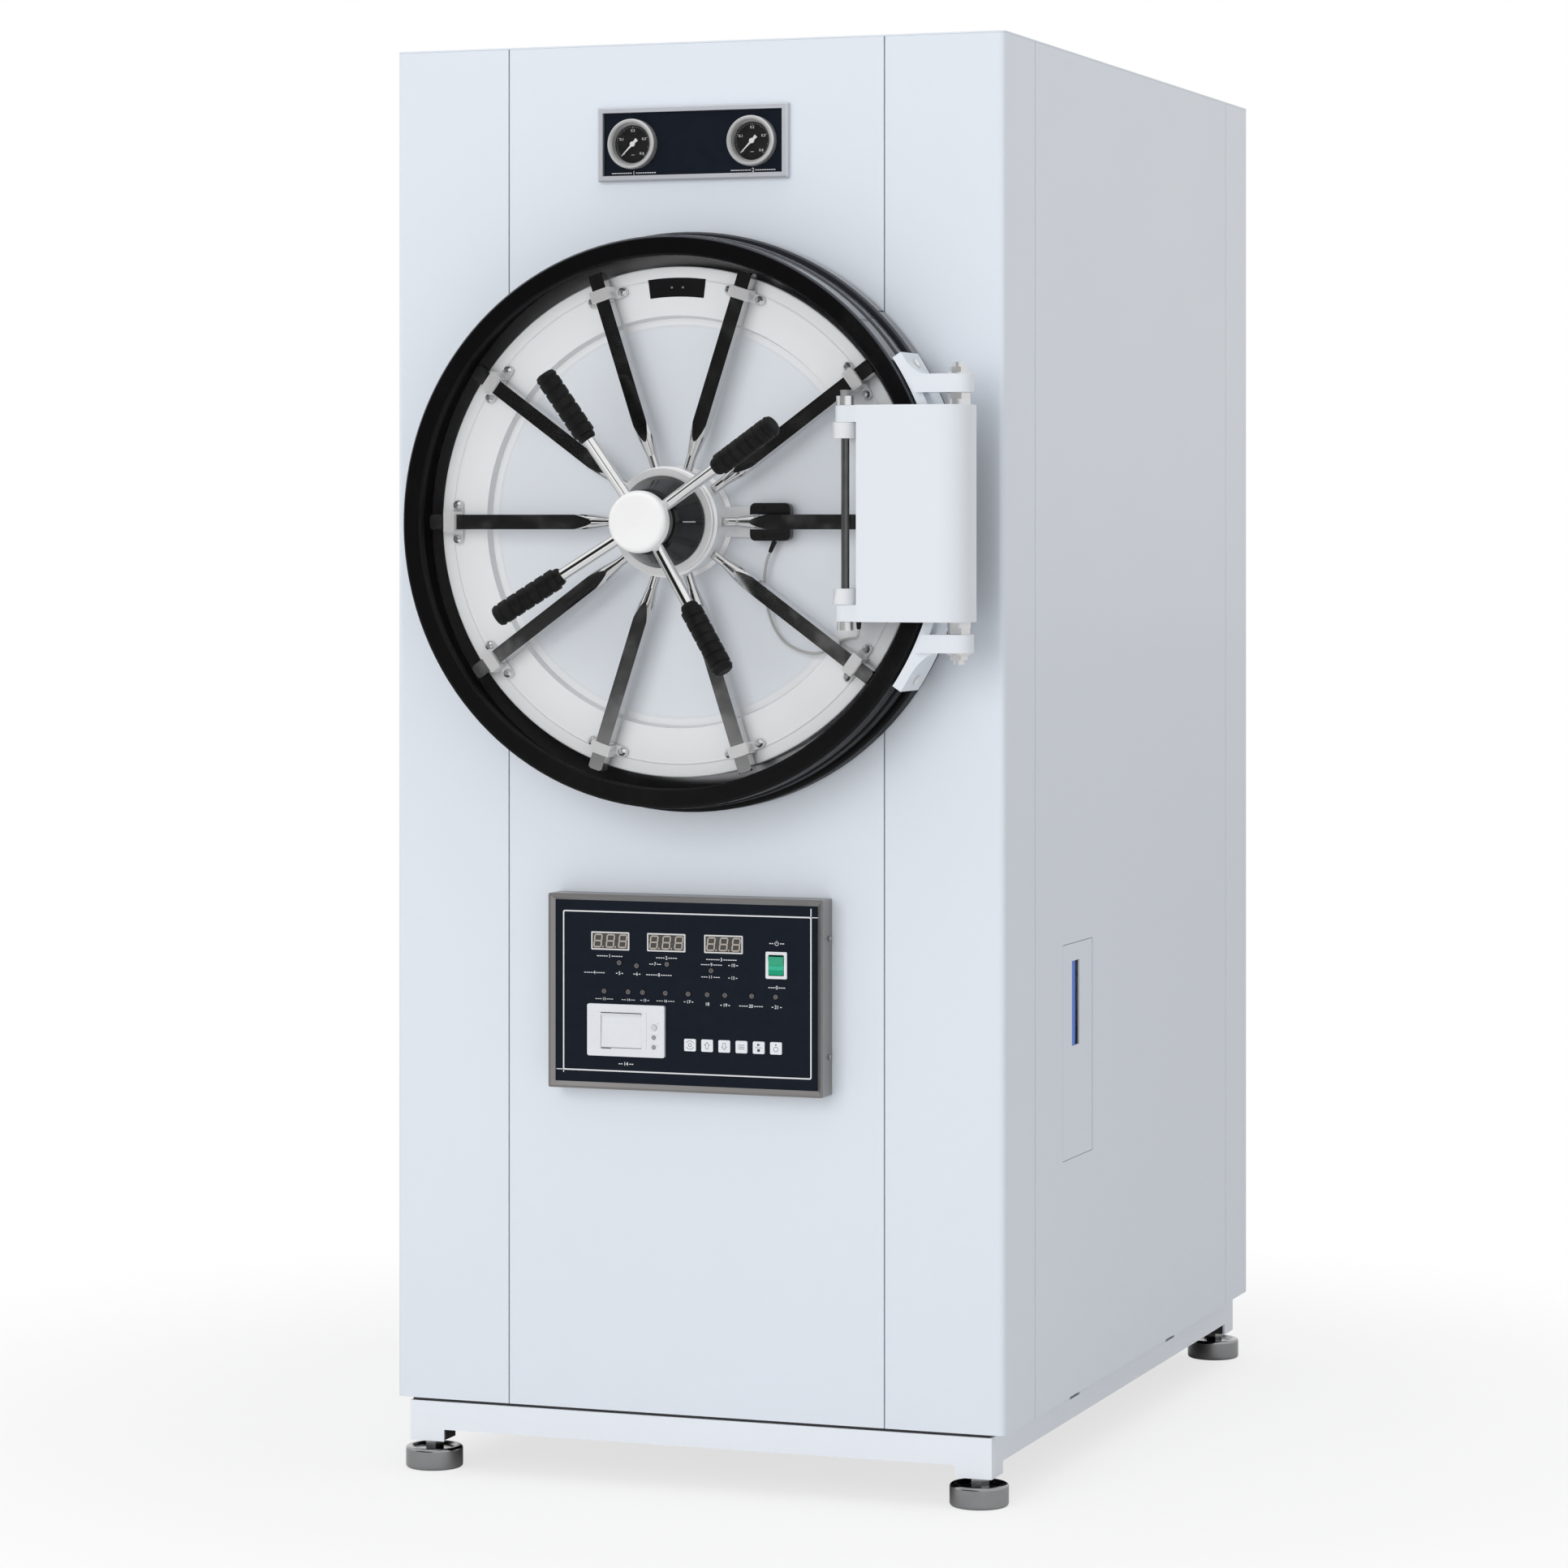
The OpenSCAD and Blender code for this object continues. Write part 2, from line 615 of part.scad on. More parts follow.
module locking_ring() color("black") on_axis() {
    rear_r = ring_r + band_step;
    rear_f = ring_proud * 0.3;
    mid_f = [ring_proud * 0.38, ring_proud * 0.64];
    front_f = ring_proud * 0.7;
    mid_r = ring_r + 2;
    e = ring_edge;
    revolve(concat(
        [[pocket_r, ring_seat], [rear_r - e, ring_seat]],
        arc([rear_r - e, ring_seat + e], e, -90, 0),
        arc([rear_r - e, rear_f - e], e, 0, 90),
        [[ring_r - groove_d, rear_f], [ring_r - groove_d, mid_f[0]]],
        arc([mid_r - e, mid_f[0] + e], e, -90, 0),
        arc([mid_r - e, mid_f[1] - e], e, 0, 90),
        [[ring_r - groove_d, mid_f[1]], [ring_r - groove_d, front_f], [ring_r, front_f]],
        arc([ring_r - e, ring_proud - e], e, 0, 90),
        [[lip_r + e / 2, ring_proud], [lip_r, ring_proud - e / 2], [lip_r, lip_f],
        [pocket_r - e / 2, lip_f], [pocket_r, lip_f - e / 2]]));
}

// Hinge

foot_angle = [17, 34];
foot_t = 12;
foot_f = [31, 98];
lug_r = 18;
washer_r = 14;
bolt_r = 11;
head_h = 8;
lug_z = hinge_h + lug_gap;

// A flat lug in plan: a round end at the pin and a straight run back to the ring.
module lug_plan() {
    translate([hinge_x, hinge_f]) circle(lug_r, $fn = 48);
    translate([ring_r * 0.88, hinge_f - lug_r]) square([hinge_x - ring_r * 0.88, 2 * lug_r]);
}

module hinge_brackets() color("whitesmoke") on_axis() {
    inner_r = ring_r + 2 + slide;
    foot_r = inner_r + foot_t;
    for (up = [0, 1]) mirror([0, up, 0]) {
        lift = arm_lift * (1 - 2 * up);
        lug_end = lug_z + lug_h + lift;
        root = [sqrt(foot_r * foot_r - lug_end * lug_end), lug_end];
        difference() {
            union() {
                // Foot that follows the ring, and the lug that carries the pin
                translate([0, 0, foot_f[0]]) intersection() {
                    difference() {
                        cylinder(r = foot_r, h = foot_f[1] - foot_f[0], $fn = fine);
                        translate([0, 0, -over])
                            cylinder(r = inner_r, h = foot_f[1] - foot_f[0] + 2 * over, $fn = fine);
                    }
                    translate([0, 0, -over]) linear_extrude(ring_proud) polygon([
                        [0, 0], 2 * ring_r * [cos(foot_angle[0]), sin(foot_angle[0])],
                        2 * ring_r * [cos(foot_angle[1]), sin(foot_angle[1])]]);
                }
                difference() {
                    translate([0, lug_end, 0]) rotate([90, 0, 0])
                        linear_extrude(lug_h) lug_plan();
                    translate([0, 0, -over]) cylinder(r = inner_r + foot_t / 2, h = 2 * ring_proud,
                        $fn = fine);
                }
                // Fillet from the lug down into the foot
                translate([0, 0, hinge_f - lug_r]) linear_extrude(foot_f[1] - hinge_f + lug_r)
                    polygon(concat([root - [foot_t / 2, foot_t / 2]],
                        [for (t = [0 : 0.2 : 1]) (1 - t) * (1 - t) * (root + [fillet, -over / 2])
                            + 2 * t * (1 - t) * root
                            + t * t * (foot_r - over / 2) * [cos(fillet_angle), sin(fillet_angle)]]));
            }
            translate([hinge_x, lug_z + lift - over, hinge_f]) rotate([-90, 0, 0])
                cylinder(d = hinge_pin_d + 2 * fit, h = lug_h + 2 * over, $fn = 48);
            // Screw hole through the foot
            rotate(foot_screw) translate([inner_r - over, 0, (foot_f[0] + foot_f[1]) / 2])
                rotate([0, 90, 0]) cylinder(d = foot_screw_d + 2 * fit, h = foot_t + 2 * over, $fn = 32);
        }
    }
}
foot_screw = 31.5;
foot_screw_d = 8;
fillet = 20;
fillet_angle = 33;

module hinge_pins() color("silver") on_axis() for (up = [0, 1]) mirror([0, up, 0]) {
    pin_base = hinge_h - arm_plate_t + slide;
    translate([hinge_x, arm_lift * (1 - 2 * up), hinge_f]) rotate([-90, 0, 0]) {
        // Pin, thrust washers in the gap, and the bolt head above the lug
        translate([0, 0, pin_base]) cylinder(d = hinge_pin_d, h = lug_z + lug_h - pin_base, $fn = 48);
        translate([0, 0, hinge_h + slide]) cylinder(r = washer_r, h = lug_gap * 0.45, $fn = 48);
        translate([0, 0, hinge_h + slide + lug_gap * 0.45])
            hexagon(washer_r, lug_gap * 0.55 - slide - seat);
        translate([0, 0, lug_z + lug_h + seat]) {
            cylinder(r = washer_r, h = head_h / 4, $fn = 48);
            hexagon(bolt_r, head_h);
            translate([0, 0, head_h]) cylinder(r = bolt_r * 0.6, h = head_h * 0.7, $fn = 32);
        }
        translate([0, 0, lug_z + lug_h - over]) cylinder(d = hinge_pin_d, h = head_h, $fn = 48);
    }
    rotate(foot_screw) translate([ring_r + 2 + slide, 0, (foot_f[0] + foot_f[1]) / 2])
        rotate([0, 90, 0]) {
            cylinder(d = foot_screw_d, h = foot_t + seat, $fn = 32);
            translate([0, 0, foot_t + seat]) screw_head(foot_screw_d * 0.8, foot_screw_d * 0.5);
        }
}

arm_left = pivot_x + 24;
arm_right = hinge_x + 20;
arm_bend = 36;
arm_back = hinge_f - 6;
pivot_lug_r = 12;

// The arm's curved corner in plan, a quarter disc about the bend's middle.
module arm_corner(r) translate([arm_right - arm_bend, arm_f - arm_bend]) intersection() {
    circle(r, $fn = 64);
    square(arm_bend);
}

// The curved front sheet in plan, drawn as X and distance forward.
module arm_sheet_plan() {
    translate([arm_left, arm_f - arm_sheet_t])
        square([arm_right - arm_bend - arm_left, arm_sheet_t]);
    difference() {
        arm_corner(arm_bend);
        arm_corner(arm_bend - arm_sheet_t);
    }
    translate([arm_right - arm_sheet_t, arm_back])
        square([arm_sheet_t, arm_f - arm_bend - arm_back + seat]);
}

// The end plates in plan: in front of the ring, round the pin, and out to the pivot rod.
module arm_plate_plan() {
    ring_clear = ring_proud + 4;
    translate([arm_left, ring_clear]) square([arm_right - arm_bend - arm_left, arm_f - ring_clear]);
    arm_corner(arm_bend);
    translate([arm_right - arm_bend, arm_back]) square([arm_bend, arm_f - arm_bend - arm_back]);
    translate([hinge_x, hinge_f]) circle(lug_r, $fn = 48);
    translate([pivot_x, pivot_f]) circle(pivot_lug_r, $fn = 48);
    translate([pivot_x, pivot_f - pivot_lug_r])
        square([arm_left - pivot_x + over, 2 * pivot_lug_r]);
}

module hinge_arm() color("whitesmoke") on_axis() translate([0, arm_lift, 0]) difference() {
    union() {
        translate([0, hinge_h, 0]) rotate([90, 0, 0]) linear_extrude(arm_h) arm_sheet_plan();
        // Top and bottom plates
        for (up = [0, 1]) mirror([0, up, 0]) translate([0, hinge_h, 0]) rotate([90, 0, 0])
            linear_extrude(arm_plate_t) arm_plate_plan();
        // Upright web that ties the plates together
        span([arm_left, arm_left + arm_sheet_t * 2], [-hinge_h, hinge_h],
            [ring_proud + 4, arm_f - seat]);
    }
    for (up = [0, 1]) mirror([0, up, 0]) {
        translate([hinge_x, hinge_h - arm_plate_t - over, hinge_f]) rotate([-90, 0, 0])
            cylinder(d = hinge_pin_d + 2 * fit, h = arm_plate_t + 2 * over, $fn = 48);
        translate([pivot_x, hinge_h - arm_plate_t - over, pivot_f]) rotate([-90, 0, 0])
            cylinder(d = pivot_d + 2 * fit, h = arm_plate_t + 2 * over, $fn = 48);
    }
}

bush_h = 19;
bush_r = 15;
bush_top = hinge_h - arm_plate_t - slide;

module door_pivot_rod() color("dimgray") on_axis() translate([pivot_x, arm_lift, pivot_f])
    rotate([-90, 0, 0]) {
        translate([0, 0, -hinge_h - head_h / 2]) cylinder(d = pivot_d, h = arm_h + head_h, $fn = 48);
        // Bolt head above the arm and washer with nut below it
        translate([0, 0, hinge_h + seat]) {
            cylinder(r = bolt_r, h = head_h * 1.4, $fn = 48);
            translate([0, 0, head_h * 1.4]) hexagon(bolt_r * 0.6, head_h * 0.9);
        }
        translate([0, 0, -hinge_h - seat - head_h * 1.3]) cylinder(r = bolt_r * 0.9, h = head_h * 1.3,
            $fn = 48);
    }

// Door

dish_step = 12;
dish_slope = 4;
dish_t = 8;
rim_step = 3;
housing_r = housing_d / 2;

module door_plate() color("whitesmoke") on_axis() {
    r = door_d / 2;
    line_r = rim_line_d / 2;
    step_r = dish_d / 2;
    seat_r = housing_r + 6;
    back_r = step_r - 12;
    front_f = door_front_f;
    dish_f = front_f - dish_step;
    difference() {
        union() {
            revolve(concat(
                // Rim, raised line and step down on the front
                [[r, door_back_f], [r, front_f - rim_step]], arc([r - 2, front_f - rim_step], 2, 0, 90),
                [[line_r + 2, front_f - 1], [line_r, front_f], [line_r - 2, front_f - 1.2],
                [step_r, front_f - 1.2], [step_r - 3, dish_f]],
                // Dished middle, deepest round the lock housing
                [for (i = [1 : 6]) let (s = i / 6)
                    [step_r - 3 + (seat_r - step_r + 3) * s, dish_f - dish_slope * s * (2 - s)]],
                [[0, dish_f - dish_slope]],
                // Back
                [[0, dish_f - dish_slope - dish_t], [seat_r, dish_f - dish_slope - dish_t],
                [back_r, dish_f - dish_t], [back_r + 4, door_back_f]]));
            // Two lugs that hang the door on its pivot rod
            translate([0, arm_lift, 0]) for (up = [0, 1]) mirror([0, up, 0]) {
                translate([pivot_x, bush_top - bush_h, pivot_f]) rotate([-90, 0, 0])
                    cylinder(r = bush_r, h = bush_h, $fn = 48);
                translate([pivot_x - bush_r, bush_top - bush_h, dish_f - 2 * over])
                    cube([2 * bush_r, bush_h, pivot_f - dish_f + 2 * over]);
            }
        }
        // Gasket groove, latch pocket, guide screw holes and pivot bores
        tube(gasket_r[1] + seat, gasket_r[0] - seat, door_back_f - over, door_back_f + groove_h);
        latch_shape(latch_r[0] - seat, latch_r[1] + seat, latch_half + 0.1, front_f - 1.2 - latch_t,
            front_f + over);
        around(bar_count) for (s = [-1, 1]) translate([guide_r, s * bolt_offset, front_f - bolt_deep])
            cylinder(d = bolt_d + 2 * fit, h = bolt_deep + over, $fn = 32);
        translate([pivot_x, arm_lift - hinge_h, pivot_f]) rotate([-90, 0, 0])
            cylinder(d = pivot_d + 2 * fit, h = arm_h, $fn = 48);
        // Bearing recess for the scroll plate's shaft
        disc(shaft_r + fit, dish_f - dish_slope - dish_t / 2, dish_f);
    }
}

gasket_r = [chamber_d / 2 + 1, chamber_d / 2 + 9];
groove_h = 8;

module door_gasket() color("dimgray") on_axis() {
    mid = (gasket_r[0] + gasket_r[1]) / 2;
    lip = door_back_f - seal_proud;
    revolve([
        [gasket_r[0], door_back_f + groove_h - seat], [gasket_r[0], door_back_f],
        [mid - 2.5, lip + 0.8], [mid - 1, lip], [mid + 1, lip], [mid + 2.5, lip + 0.8],
        [gasket_r[1], door_back_f], [gasket_r[1], door_back_f + groove_h - seat]]);
}

latch_r = [door_d / 2 - 37, door_d / 2 - 14];
latch_half = 7.2;
latch_t = 3;

// A slice of a ring, upright above the axis, half as wide as the given angle each way.
module latch_shape(r0, r1, half, back, face) intersection() {
    tube(r1, r0, back, face);
    translate([0, 0, back - over]) linear_extrude(face - back + 2 * over)
        polygon([[0, 0], 2 * r1 * [sin(-half), cos(half)], 2 * r1 * [sin(half), cos(half)]]);
}

module latch_plate() color("black") on_axis() difference() {
    face = door_front_f - 1.2 - latch_t + seat + 2;
    latch_shape(latch_r[0], latch_r[1], latch_half, face - 2, face);
    for (s = [-1, 1]) rotate(90 + s * latch_half * 0.2) translate([(latch_r[0] + latch_r[1]) / 2, 0, face])
        sphere(r = 1.6, $fn = 24);
}

bolt_offset = 21;
bolt_d = 6;
bolt_deep = 12;
guide_w = 14;
guide_shift = 2;
guide_t = 3.5;
ear_l = 12;

// U-shaped guides over the bars, each with an ear and a bolt on either side.
module bar_guides() color("silver") on_axis() around(bar_count) {
    base_f = door_front_f + seat;
    half = bar_w / 2 + slide;
    top_f = bar_f + half + guide_t;
    difference() {
        union() {
            translate([guide_r + guide_shift - guide_w / 2, -half - guide_t, base_f])
                cube([guide_w, 2 * (half + guide_t), top_f - base_f]);
            for (s = [-1, 1]) {
                translate([guide_r, s * bolt_offset, base_f]) cylinder(d = ear_l, h = guide_t, $fn = 48);
                translate([guide_r - ear_l / 2, s > 0 ? half : -bolt_offset, base_f])
                    cube([ear_l, bolt_offset - half, guide_t]);
            }
        }
        translate([guide_r - guide_w, -half, bar_f - half])
            cube([2 * guide_w, 2 * half, 2 * half]);
        for (s = [-1, 1]) translate([guide_r, s * bolt_offset, base_f - over])
            cylinder(d = bolt_d + 2 * fit, h = guide_t + 2 * over, $fn = 32);
    }
}

module guide_bolts() color("silver") on_axis() around(bar_count) for (s = [-1, 1])
    translate([guide_r, s * bolt_offset, door_front_f + seat + guide_t + seat]) {
        screw_head(bolt_d * 0.85, bolt_d * 0.9);
        translate([0, 0, seat - guide_t - bolt_deep]) cylinder(d = bolt_d, h = bolt_deep + guide_t, $fn = 32);
    }

// Lock housing, scroll plate and bars

housing_back = door_front_f - dish_step - dish_slope + seat;
housing_front = ring_proud + 10;
housing_wall = 12;
scroll_t = 10;
scroll_back = bar_f + spigot_d / 2 + 3;
shaft_r = 12;

module lock_housing() color("silver") on_axis() difference() {
    union() {
        // Bracket that holds the lock sensor beside the housing
        span([housing_r - housing_wall / 2, sensor_x + sensor_w * 0.6],
            [-sensor_h * 0.4, sensor_h * 0.4],
            [sensor_f - sensor_t - bracket_t, sensor_f - sensor_t - seat]);
        revolve(housing_outline());
    }
    around(bar_count) translate([0, 0, bar_f]) rotate([0, 90, 0])
        cylinder(d = spigot_d + 2 * fit, h = 2 * housing_r, $fn = 48);
}

// The housing's outline with its collars, its base flange and the cavity for the bar ends.
function housing_outline() = [
    [shaft_r + fit, housing_back], [housing_r + 3, housing_back],
    [housing_r + 3, housing_back + 4], [housing_r - 2, housing_back + 7],
    [housing_r - 2, housing_front - 28], [housing_r + 2, housing_front - 26],
    [housing_r + 2, housing_front - 12], [housing_r - 1, housing_front - 10],
    [housing_r - 1, housing_front - 7], [housing_r, housing_front - 6],
    [housing_r, housing_front - 1], [housing_r - 1, housing_front],
    [shaft_r + fit, housing_front],
    [shaft_r + fit, scroll_back + scroll_t + slide],
    [housing_r - housing_wall, scroll_back + scroll_t + slide],
    [housing_r - housing_wall, bar_f - spigot_d / 2 - 3],
    [shaft_r + fit, bar_f - spigot_d / 2 - 3]];

bracket_t = 2.8;
slot_steps = 12;
slot_play = 0.3;

// Spiral slots: the pin's radius grows evenly with the turn, so all bars move alike.
module scroll_slot() {
    // Across a slope the slot is wider along the radius than across itself
    slope = bar_travel / (lock_turn * PI / 180 * pin_r);
    w = (pin_d / 2 + slot_play) * norm([1, slope]);
    function on_spiral(a, side) = (pin_r + bar_travel * a / lock_turn + side * w) * [cos(a), sin(a)];
    turn = [for (i = [0 : slot_steps]) lock_turn * i / slot_steps];
    linear_extrude(scroll_t + 2 * over) polygon(concat(
        [for (a = turn) on_spiral(a, 1)], [for (i = [slot_steps : -1 : 0]) on_spiral(turn[i], -1)]));
    for (a = [0, lock_turn]) rotate(a) translate([pin_r + bar_travel * a / lock_turn, 0, 0])
        cylinder(r = w, h = scroll_t + 2 * over, $fn = 32);
}

module scroll_plate() color("silver") on_axis() difference() {
    union() {
        disc(housing_r - housing_wall - slide, scroll_back, scroll_back + scroll_t);
        // Shaft from the rear bearing to the handwheel
        disc(shaft_r, housing_back - seat - dish_t / 2 + slide, cap_back);
    }
    translate([0, 0, scroll_back - over]) around(bar_count) scroll_slot();
}

// A square bar that is turned down to a round end, drawn along X at rest.
module locking_bar(index) color("gainsboro") on_axis() rotate(index * 360 / bar_count)
    translate([0, 0, bar_f]) {
        inner = pin_r - spigot_d / 2;
        neck = housing_r + 4 + bar_travel;
        taper = 42;
        intersection() {
            translate([inner, -bar_w / 2, -bar_w / 2]) cube([tip_r - inner, bar_w, bar_w]);
            rotate([0, 90, 0]) rotate_extrude($fn = fine) polygon([
                [0, inner], [spigot_d / 2, inner], [spigot_d / 2, neck],
                [bar_w * 0.72, neck + taper], [bar_w * 0.72, tip_r - 3],
                [bar_w * 0.6, tip_r], [0, tip_r]]);
        }
        translate([pin_r, 0, 0]) cylinder(d = pin_d, h = spigot_d / 2 + 3 + scroll_t - slide, $fn = 32);
    }

module locking_bar_1() locking_bar(0);
module locking_bar_2() locking_bar(1);
module locking_bar_3() locking_bar(2);
module locking_bar_4() locking_bar(3);
module locking_bar_5() locking_bar(4);
module locking_bar_6() locking_bar(5);
module locking_bar_7() locking_bar(6);
module locking_bar_8() locking_bar(7);
module locking_bar_9() locking_bar(8);
module locking_bar_10() locking_bar(9);

// Handwheel

cap_l = 18;
cap_edge = 9;
neck_l = 22;
handle_start = 33;
grip_end = 6;
rod_f = hub_f - (grip_end_r - grip_end) * sin(handle_lean) - grip_d / 2 * cos(handle_lean);
cap_back = rod_f + rod_d / 2 + 2;

// Places a piece drawn along Z onto each handle, a distance out from the axis.
module on_handles(out) around(handle_count, handle_start) translate([0, 0, rod_f])
    rotate([0, 90 - handle_lean, 0]) translate([0, 0, out]) children();

module handwheel_spider() color("silver") on_axis() {
    r = cap_d / 2;
    back = cap_back + seat;
    // Flat cap with a round edge
    revolve(concat([[0, back], [r - 2, back], [r, back + 2]],
        arc([r - cap_edge, back + cap_l - cap_edge], cap_edge, 0, 80), [[0, back + cap_l + 1]]));
    // Rods
    on_handles(cap_d * 0.2) cylinder(d = rod_d, h = grip_end_r - 8 - cap_d * 0.2, $fn = 48);
}

module handwheel_cone() color("black") on_axis() difference() {
    cone_back = housing_front + slide;
    neck_back = cap_back - neck_l;
    revolve([
        [shaft_r + fit, cone_back], [cone_d / 2 - 1, cone_back], [cone_d / 2, cone_back + 1.5],
        [cap_d / 2 + 2, neck_back - 2], [cap_d / 2 - 2, neck_back],
        [cap_d / 2 - 2, cap_back], [shaft_r + fit, cap_back]]);
    on_handles(0) cylinder(d = rod_d + 2 * fit, h = cap_d, $fn = 48);
}

rib_count = 6;

module handwheel_grips() color("black") on_axis() on_handles(grip_end_r - grip_l) difference() {
        r = grip_d / 2;
        pitch = (grip_l - 16) / rib_count;
        rotate_extrude($fn = 48) polygon(concat(
            [[0, 0], [r - 4, 0], [r - 2.5, 3], [r - 2.5, 7]],
            [for (i = [0 : rib_count - 1], p = [[0.12, 0], [0.82, 0], [0.88, 1.2], [1, 1.2]])
                [r - p[1], 7 + (i + p[0]) * pitch]],
            [[r, grip_l - grip_end], [r - 2, grip_l - 1.5], [r - 5, grip_l], [0, grip_l]]));
        translate([0, 0, -over])
            cylinder(d = rod_d + 2 * fit, h = grip_l - 8 + over + seat, $fn = 48);
    }

// Lock sensor beside the housing, and its cable to the hinge arm

sensor_f = bar_f - bar_w / 2 - 4;
sensor_w = 52;
sensor_h = 46;
sensor_t = 10;
sensor_x = 96;

module lock_sensor() color("black") on_axis() {
    back = sensor_f - sensor_t;
    difference() {
        translate([sensor_x + sensor_w / 2, 0, 0]) plate(sensor_w, sensor_h, back, sensor_f, 7);
        for (up = [-1, 1]) translate([sensor_x + sensor_w * 0.35, up * sensor_h * 0.37, sensor_f])
            sphere(r = 2, $fn = 24);
    }
}

// Hand-chosen route of the sensor's cable: X, height about the axis, and forward
cable_route = [
    [126, -23.2, 56], [122.6, -30.5, 56.5], [119.4, -37.9, 56.4], [116.4, -45.4, 56.2],
    [114.3, -53.3, 55.9], [113.1, -61.2, 55.4], [112.5, -69.3, 55.1], [112.6, -77.4, 54.9],
    [113.2, -85.5, 54.9], [114.2, -93.5, 55], [115.7, -101.4, 55], [117.7, -109.3, 55],
    [120.1, -117, 55], [123.2, -124.5, 55], [127.1, -131.6, 55.1], [131.7, -138.2, 55.3],
    [137.2, -144.2, 55.5], [143.6, -149, 55.7], [150.8, -152.8, 55.8], [158.3, -155.9, 56.1],
    [166.1, -158, 56.4], [174.1, -159, 57], [182, -158.7, 58.4], [189.8, -157.1, 60],
    [197, -153.7, 61.3], [203.8, -149.5, 62.4], [210.4, -144.9, 62.6], [217.5, -142, 65.1],
    [224, -140.7, 69.8], [229.4, -140.2, 75.8], [234.4, -139.9, 82.1], [239.2, -139.6, 88.6],
    [243.9, -138.6, 95.1], [248, -135.7, 101.3], [250, -128.4, 104], [250, -119.4, 104]
];
cable_d = 3.5;
cable_sides = 8;

function unit(v) = v / norm(v);
function along(p, i) = i == 0 || i == len(p) - 1 ? [0, i == 0 ? -1 : 1, 0]
    : unit(p[i + 1] - p[i - 1]);
// Cross directions that turn as little as possible along the route
function frames(p, i = 0, n = [0, 0, 1], out = []) = i == len(p) ? out
    : let (t = along(p, i), m = unit(n - (n * t) * t))
        frames(p, i + 1, m, concat(out, [[m, cross(t, m)]]));

module sensor_cable() color("lightgray") on_axis() {
    n = cable_sides;
    last = len(cable_route) - 1;
    turned = frames(cable_route);
    polyhedron(
        [for (i = [0 : last], k = [0 : n - 1]) cable_route[i]
            + cable_d / 2 * (cos(k * 360 / n) * turned[i][0] + sin(k * 360 / n) * turned[i][1])],
        concat([[for (k = [0 : n - 1]) k]], [[for (k = [n - 1 : -1 : 0]) last * n + k]],
            [for (i = [0 : last - 1], k = [0 : n - 1])
                [i * n + k, (i + 1) * n + k, (i + 1) * n + (k + 1) % n, i * n + (k + 1) % n]]));
}

// Gauge panel

gauge_border = 7;
gauge_frame_t = 9;
gauge_plate_t = 3;
gauge_cup_r = gauge_d / 2 - 3;
gauge_cup_l = 36;
dial_f = 6;
glass_f = [10.5, 12.5];
needle_f = 8;

// A picture-frame border: outer size, border width, thickness and bevel.
module bevelled_frame(w, h, border, back, face, bevel) difference() {
    hull() {
        plate(w, h, back, face - bevel, 1.5);
        plate(w - 2 * bevel, h - 2 * bevel, back, face, 1.5);
    }
    translate([-w / 2 + border, -h / 2 + border, back - over])
        cube([w - 2 * border, h - 2 * border, face - back + 2 * over]);
}

module gauge_frame() color("silver") front(base_h + gauge_panel_z) difference() {
    bevelled_frame(gauge_panel_w, gauge_panel_h, gauge_border, seat, gauge_frame_t, 2);
    plate(gauge_panel_w - gauge_border, gauge_panel_h - gauge_border, seat - over,
        gauge_plate_t + 2 * seat, 1);
}

module gauge_plate() color("midnightblue") front(base_h + gauge_panel_z) difference() {
    plate(gauge_panel_w - gauge_border - 2 * seat, gauge_panel_h - gauge_border - 2 * seat, seat,
        gauge_plate_t + seat, 1);
    for (x = [-1, 1]) translate([x * gauge_pitch / 2, 0, 0]) disc(gauge_cup_r + seat, -over,
        gauge_plate_t + 1);
}

module gauges() color("silver") front(base_h + gauge_panel_z)
    for (x = [-1, 1]) translate([x * gauge_pitch / 2, 0, 0]) difference() {
        r = gauge_d / 2;
        base = gauge_plate_t + 2 * seat;
        union() {
            revolve(concat(
                [[0, base - gauge_cup_l], [gauge_cup_r, base - gauge_cup_l], [gauge_cup_r, base],
                [r, base]], arc([r - 3, 13], 3, 0, 90),
                [[r - 4.5, 16], [gauge_cup_r - 3, glass_f[1] + 1], [gauge_cup_r - 3, glass_f[1]],
                [gauge_cup_r - 1, glass_f[1]], [gauge_cup_r - 1, glass_f[0] - seat],
                [gauge_cup_r - 4, glass_f[0] - seat], [gauge_cup_r - 4, dial_f], [0, dial_f]]));
            // Threaded connection behind the case
            disc(6, base - gauge_cup_l - 18, base - gauge_cup_l + over);
        }
        disc(1.2 + fit, dial_f - 5, dial_f + over);
    }

module gauge_glasses() color("lightcyan") front(base_h + gauge_panel_z)
    for (x = [-1, 1]) translate([x * gauge_pitch / 2, 0, 0])
        disc(gauge_cup_r - 1 - seat, glass_f[0], glass_f[1] - seat);

// A needle on its spindle, resting on the lower left end of its sweep.
module gauge_needle(side) color("white") front(base_h + gauge_panel_z)
    translate([side * gauge_pitch / 2, 0, 0]) rotate(180 + (360 - needle_sweep) / 2) {
        disc(1.2, dial_f - 4, needle_f);
        disc(3.2, needle_f - 1, needle_f + 1);
        translate([0, 0, needle_f - 0.5]) linear_extrude(1) polygon([
            [-8, -2.2], [-8, 2.2], [0, 1.2], [gauge_cup_r - 8, 0.4], [gauge_cup_r - 8, -0.4], [0, -1.2]]);
    }
module gauge_needle_left() gauge_needle(-1);
module gauge_needle_right() gauge_needle(1);

// Control box

control_wall = 2;
control_lip = 4;
plate_face = control_proud - control_lip - seat;
plate_t = 3;
printer_at = [-77, -47];
door_at = [-83, -47];
rocker_at = [119, 39];
key_at = [6.5, -62];
button_at = [-39.5, -42];

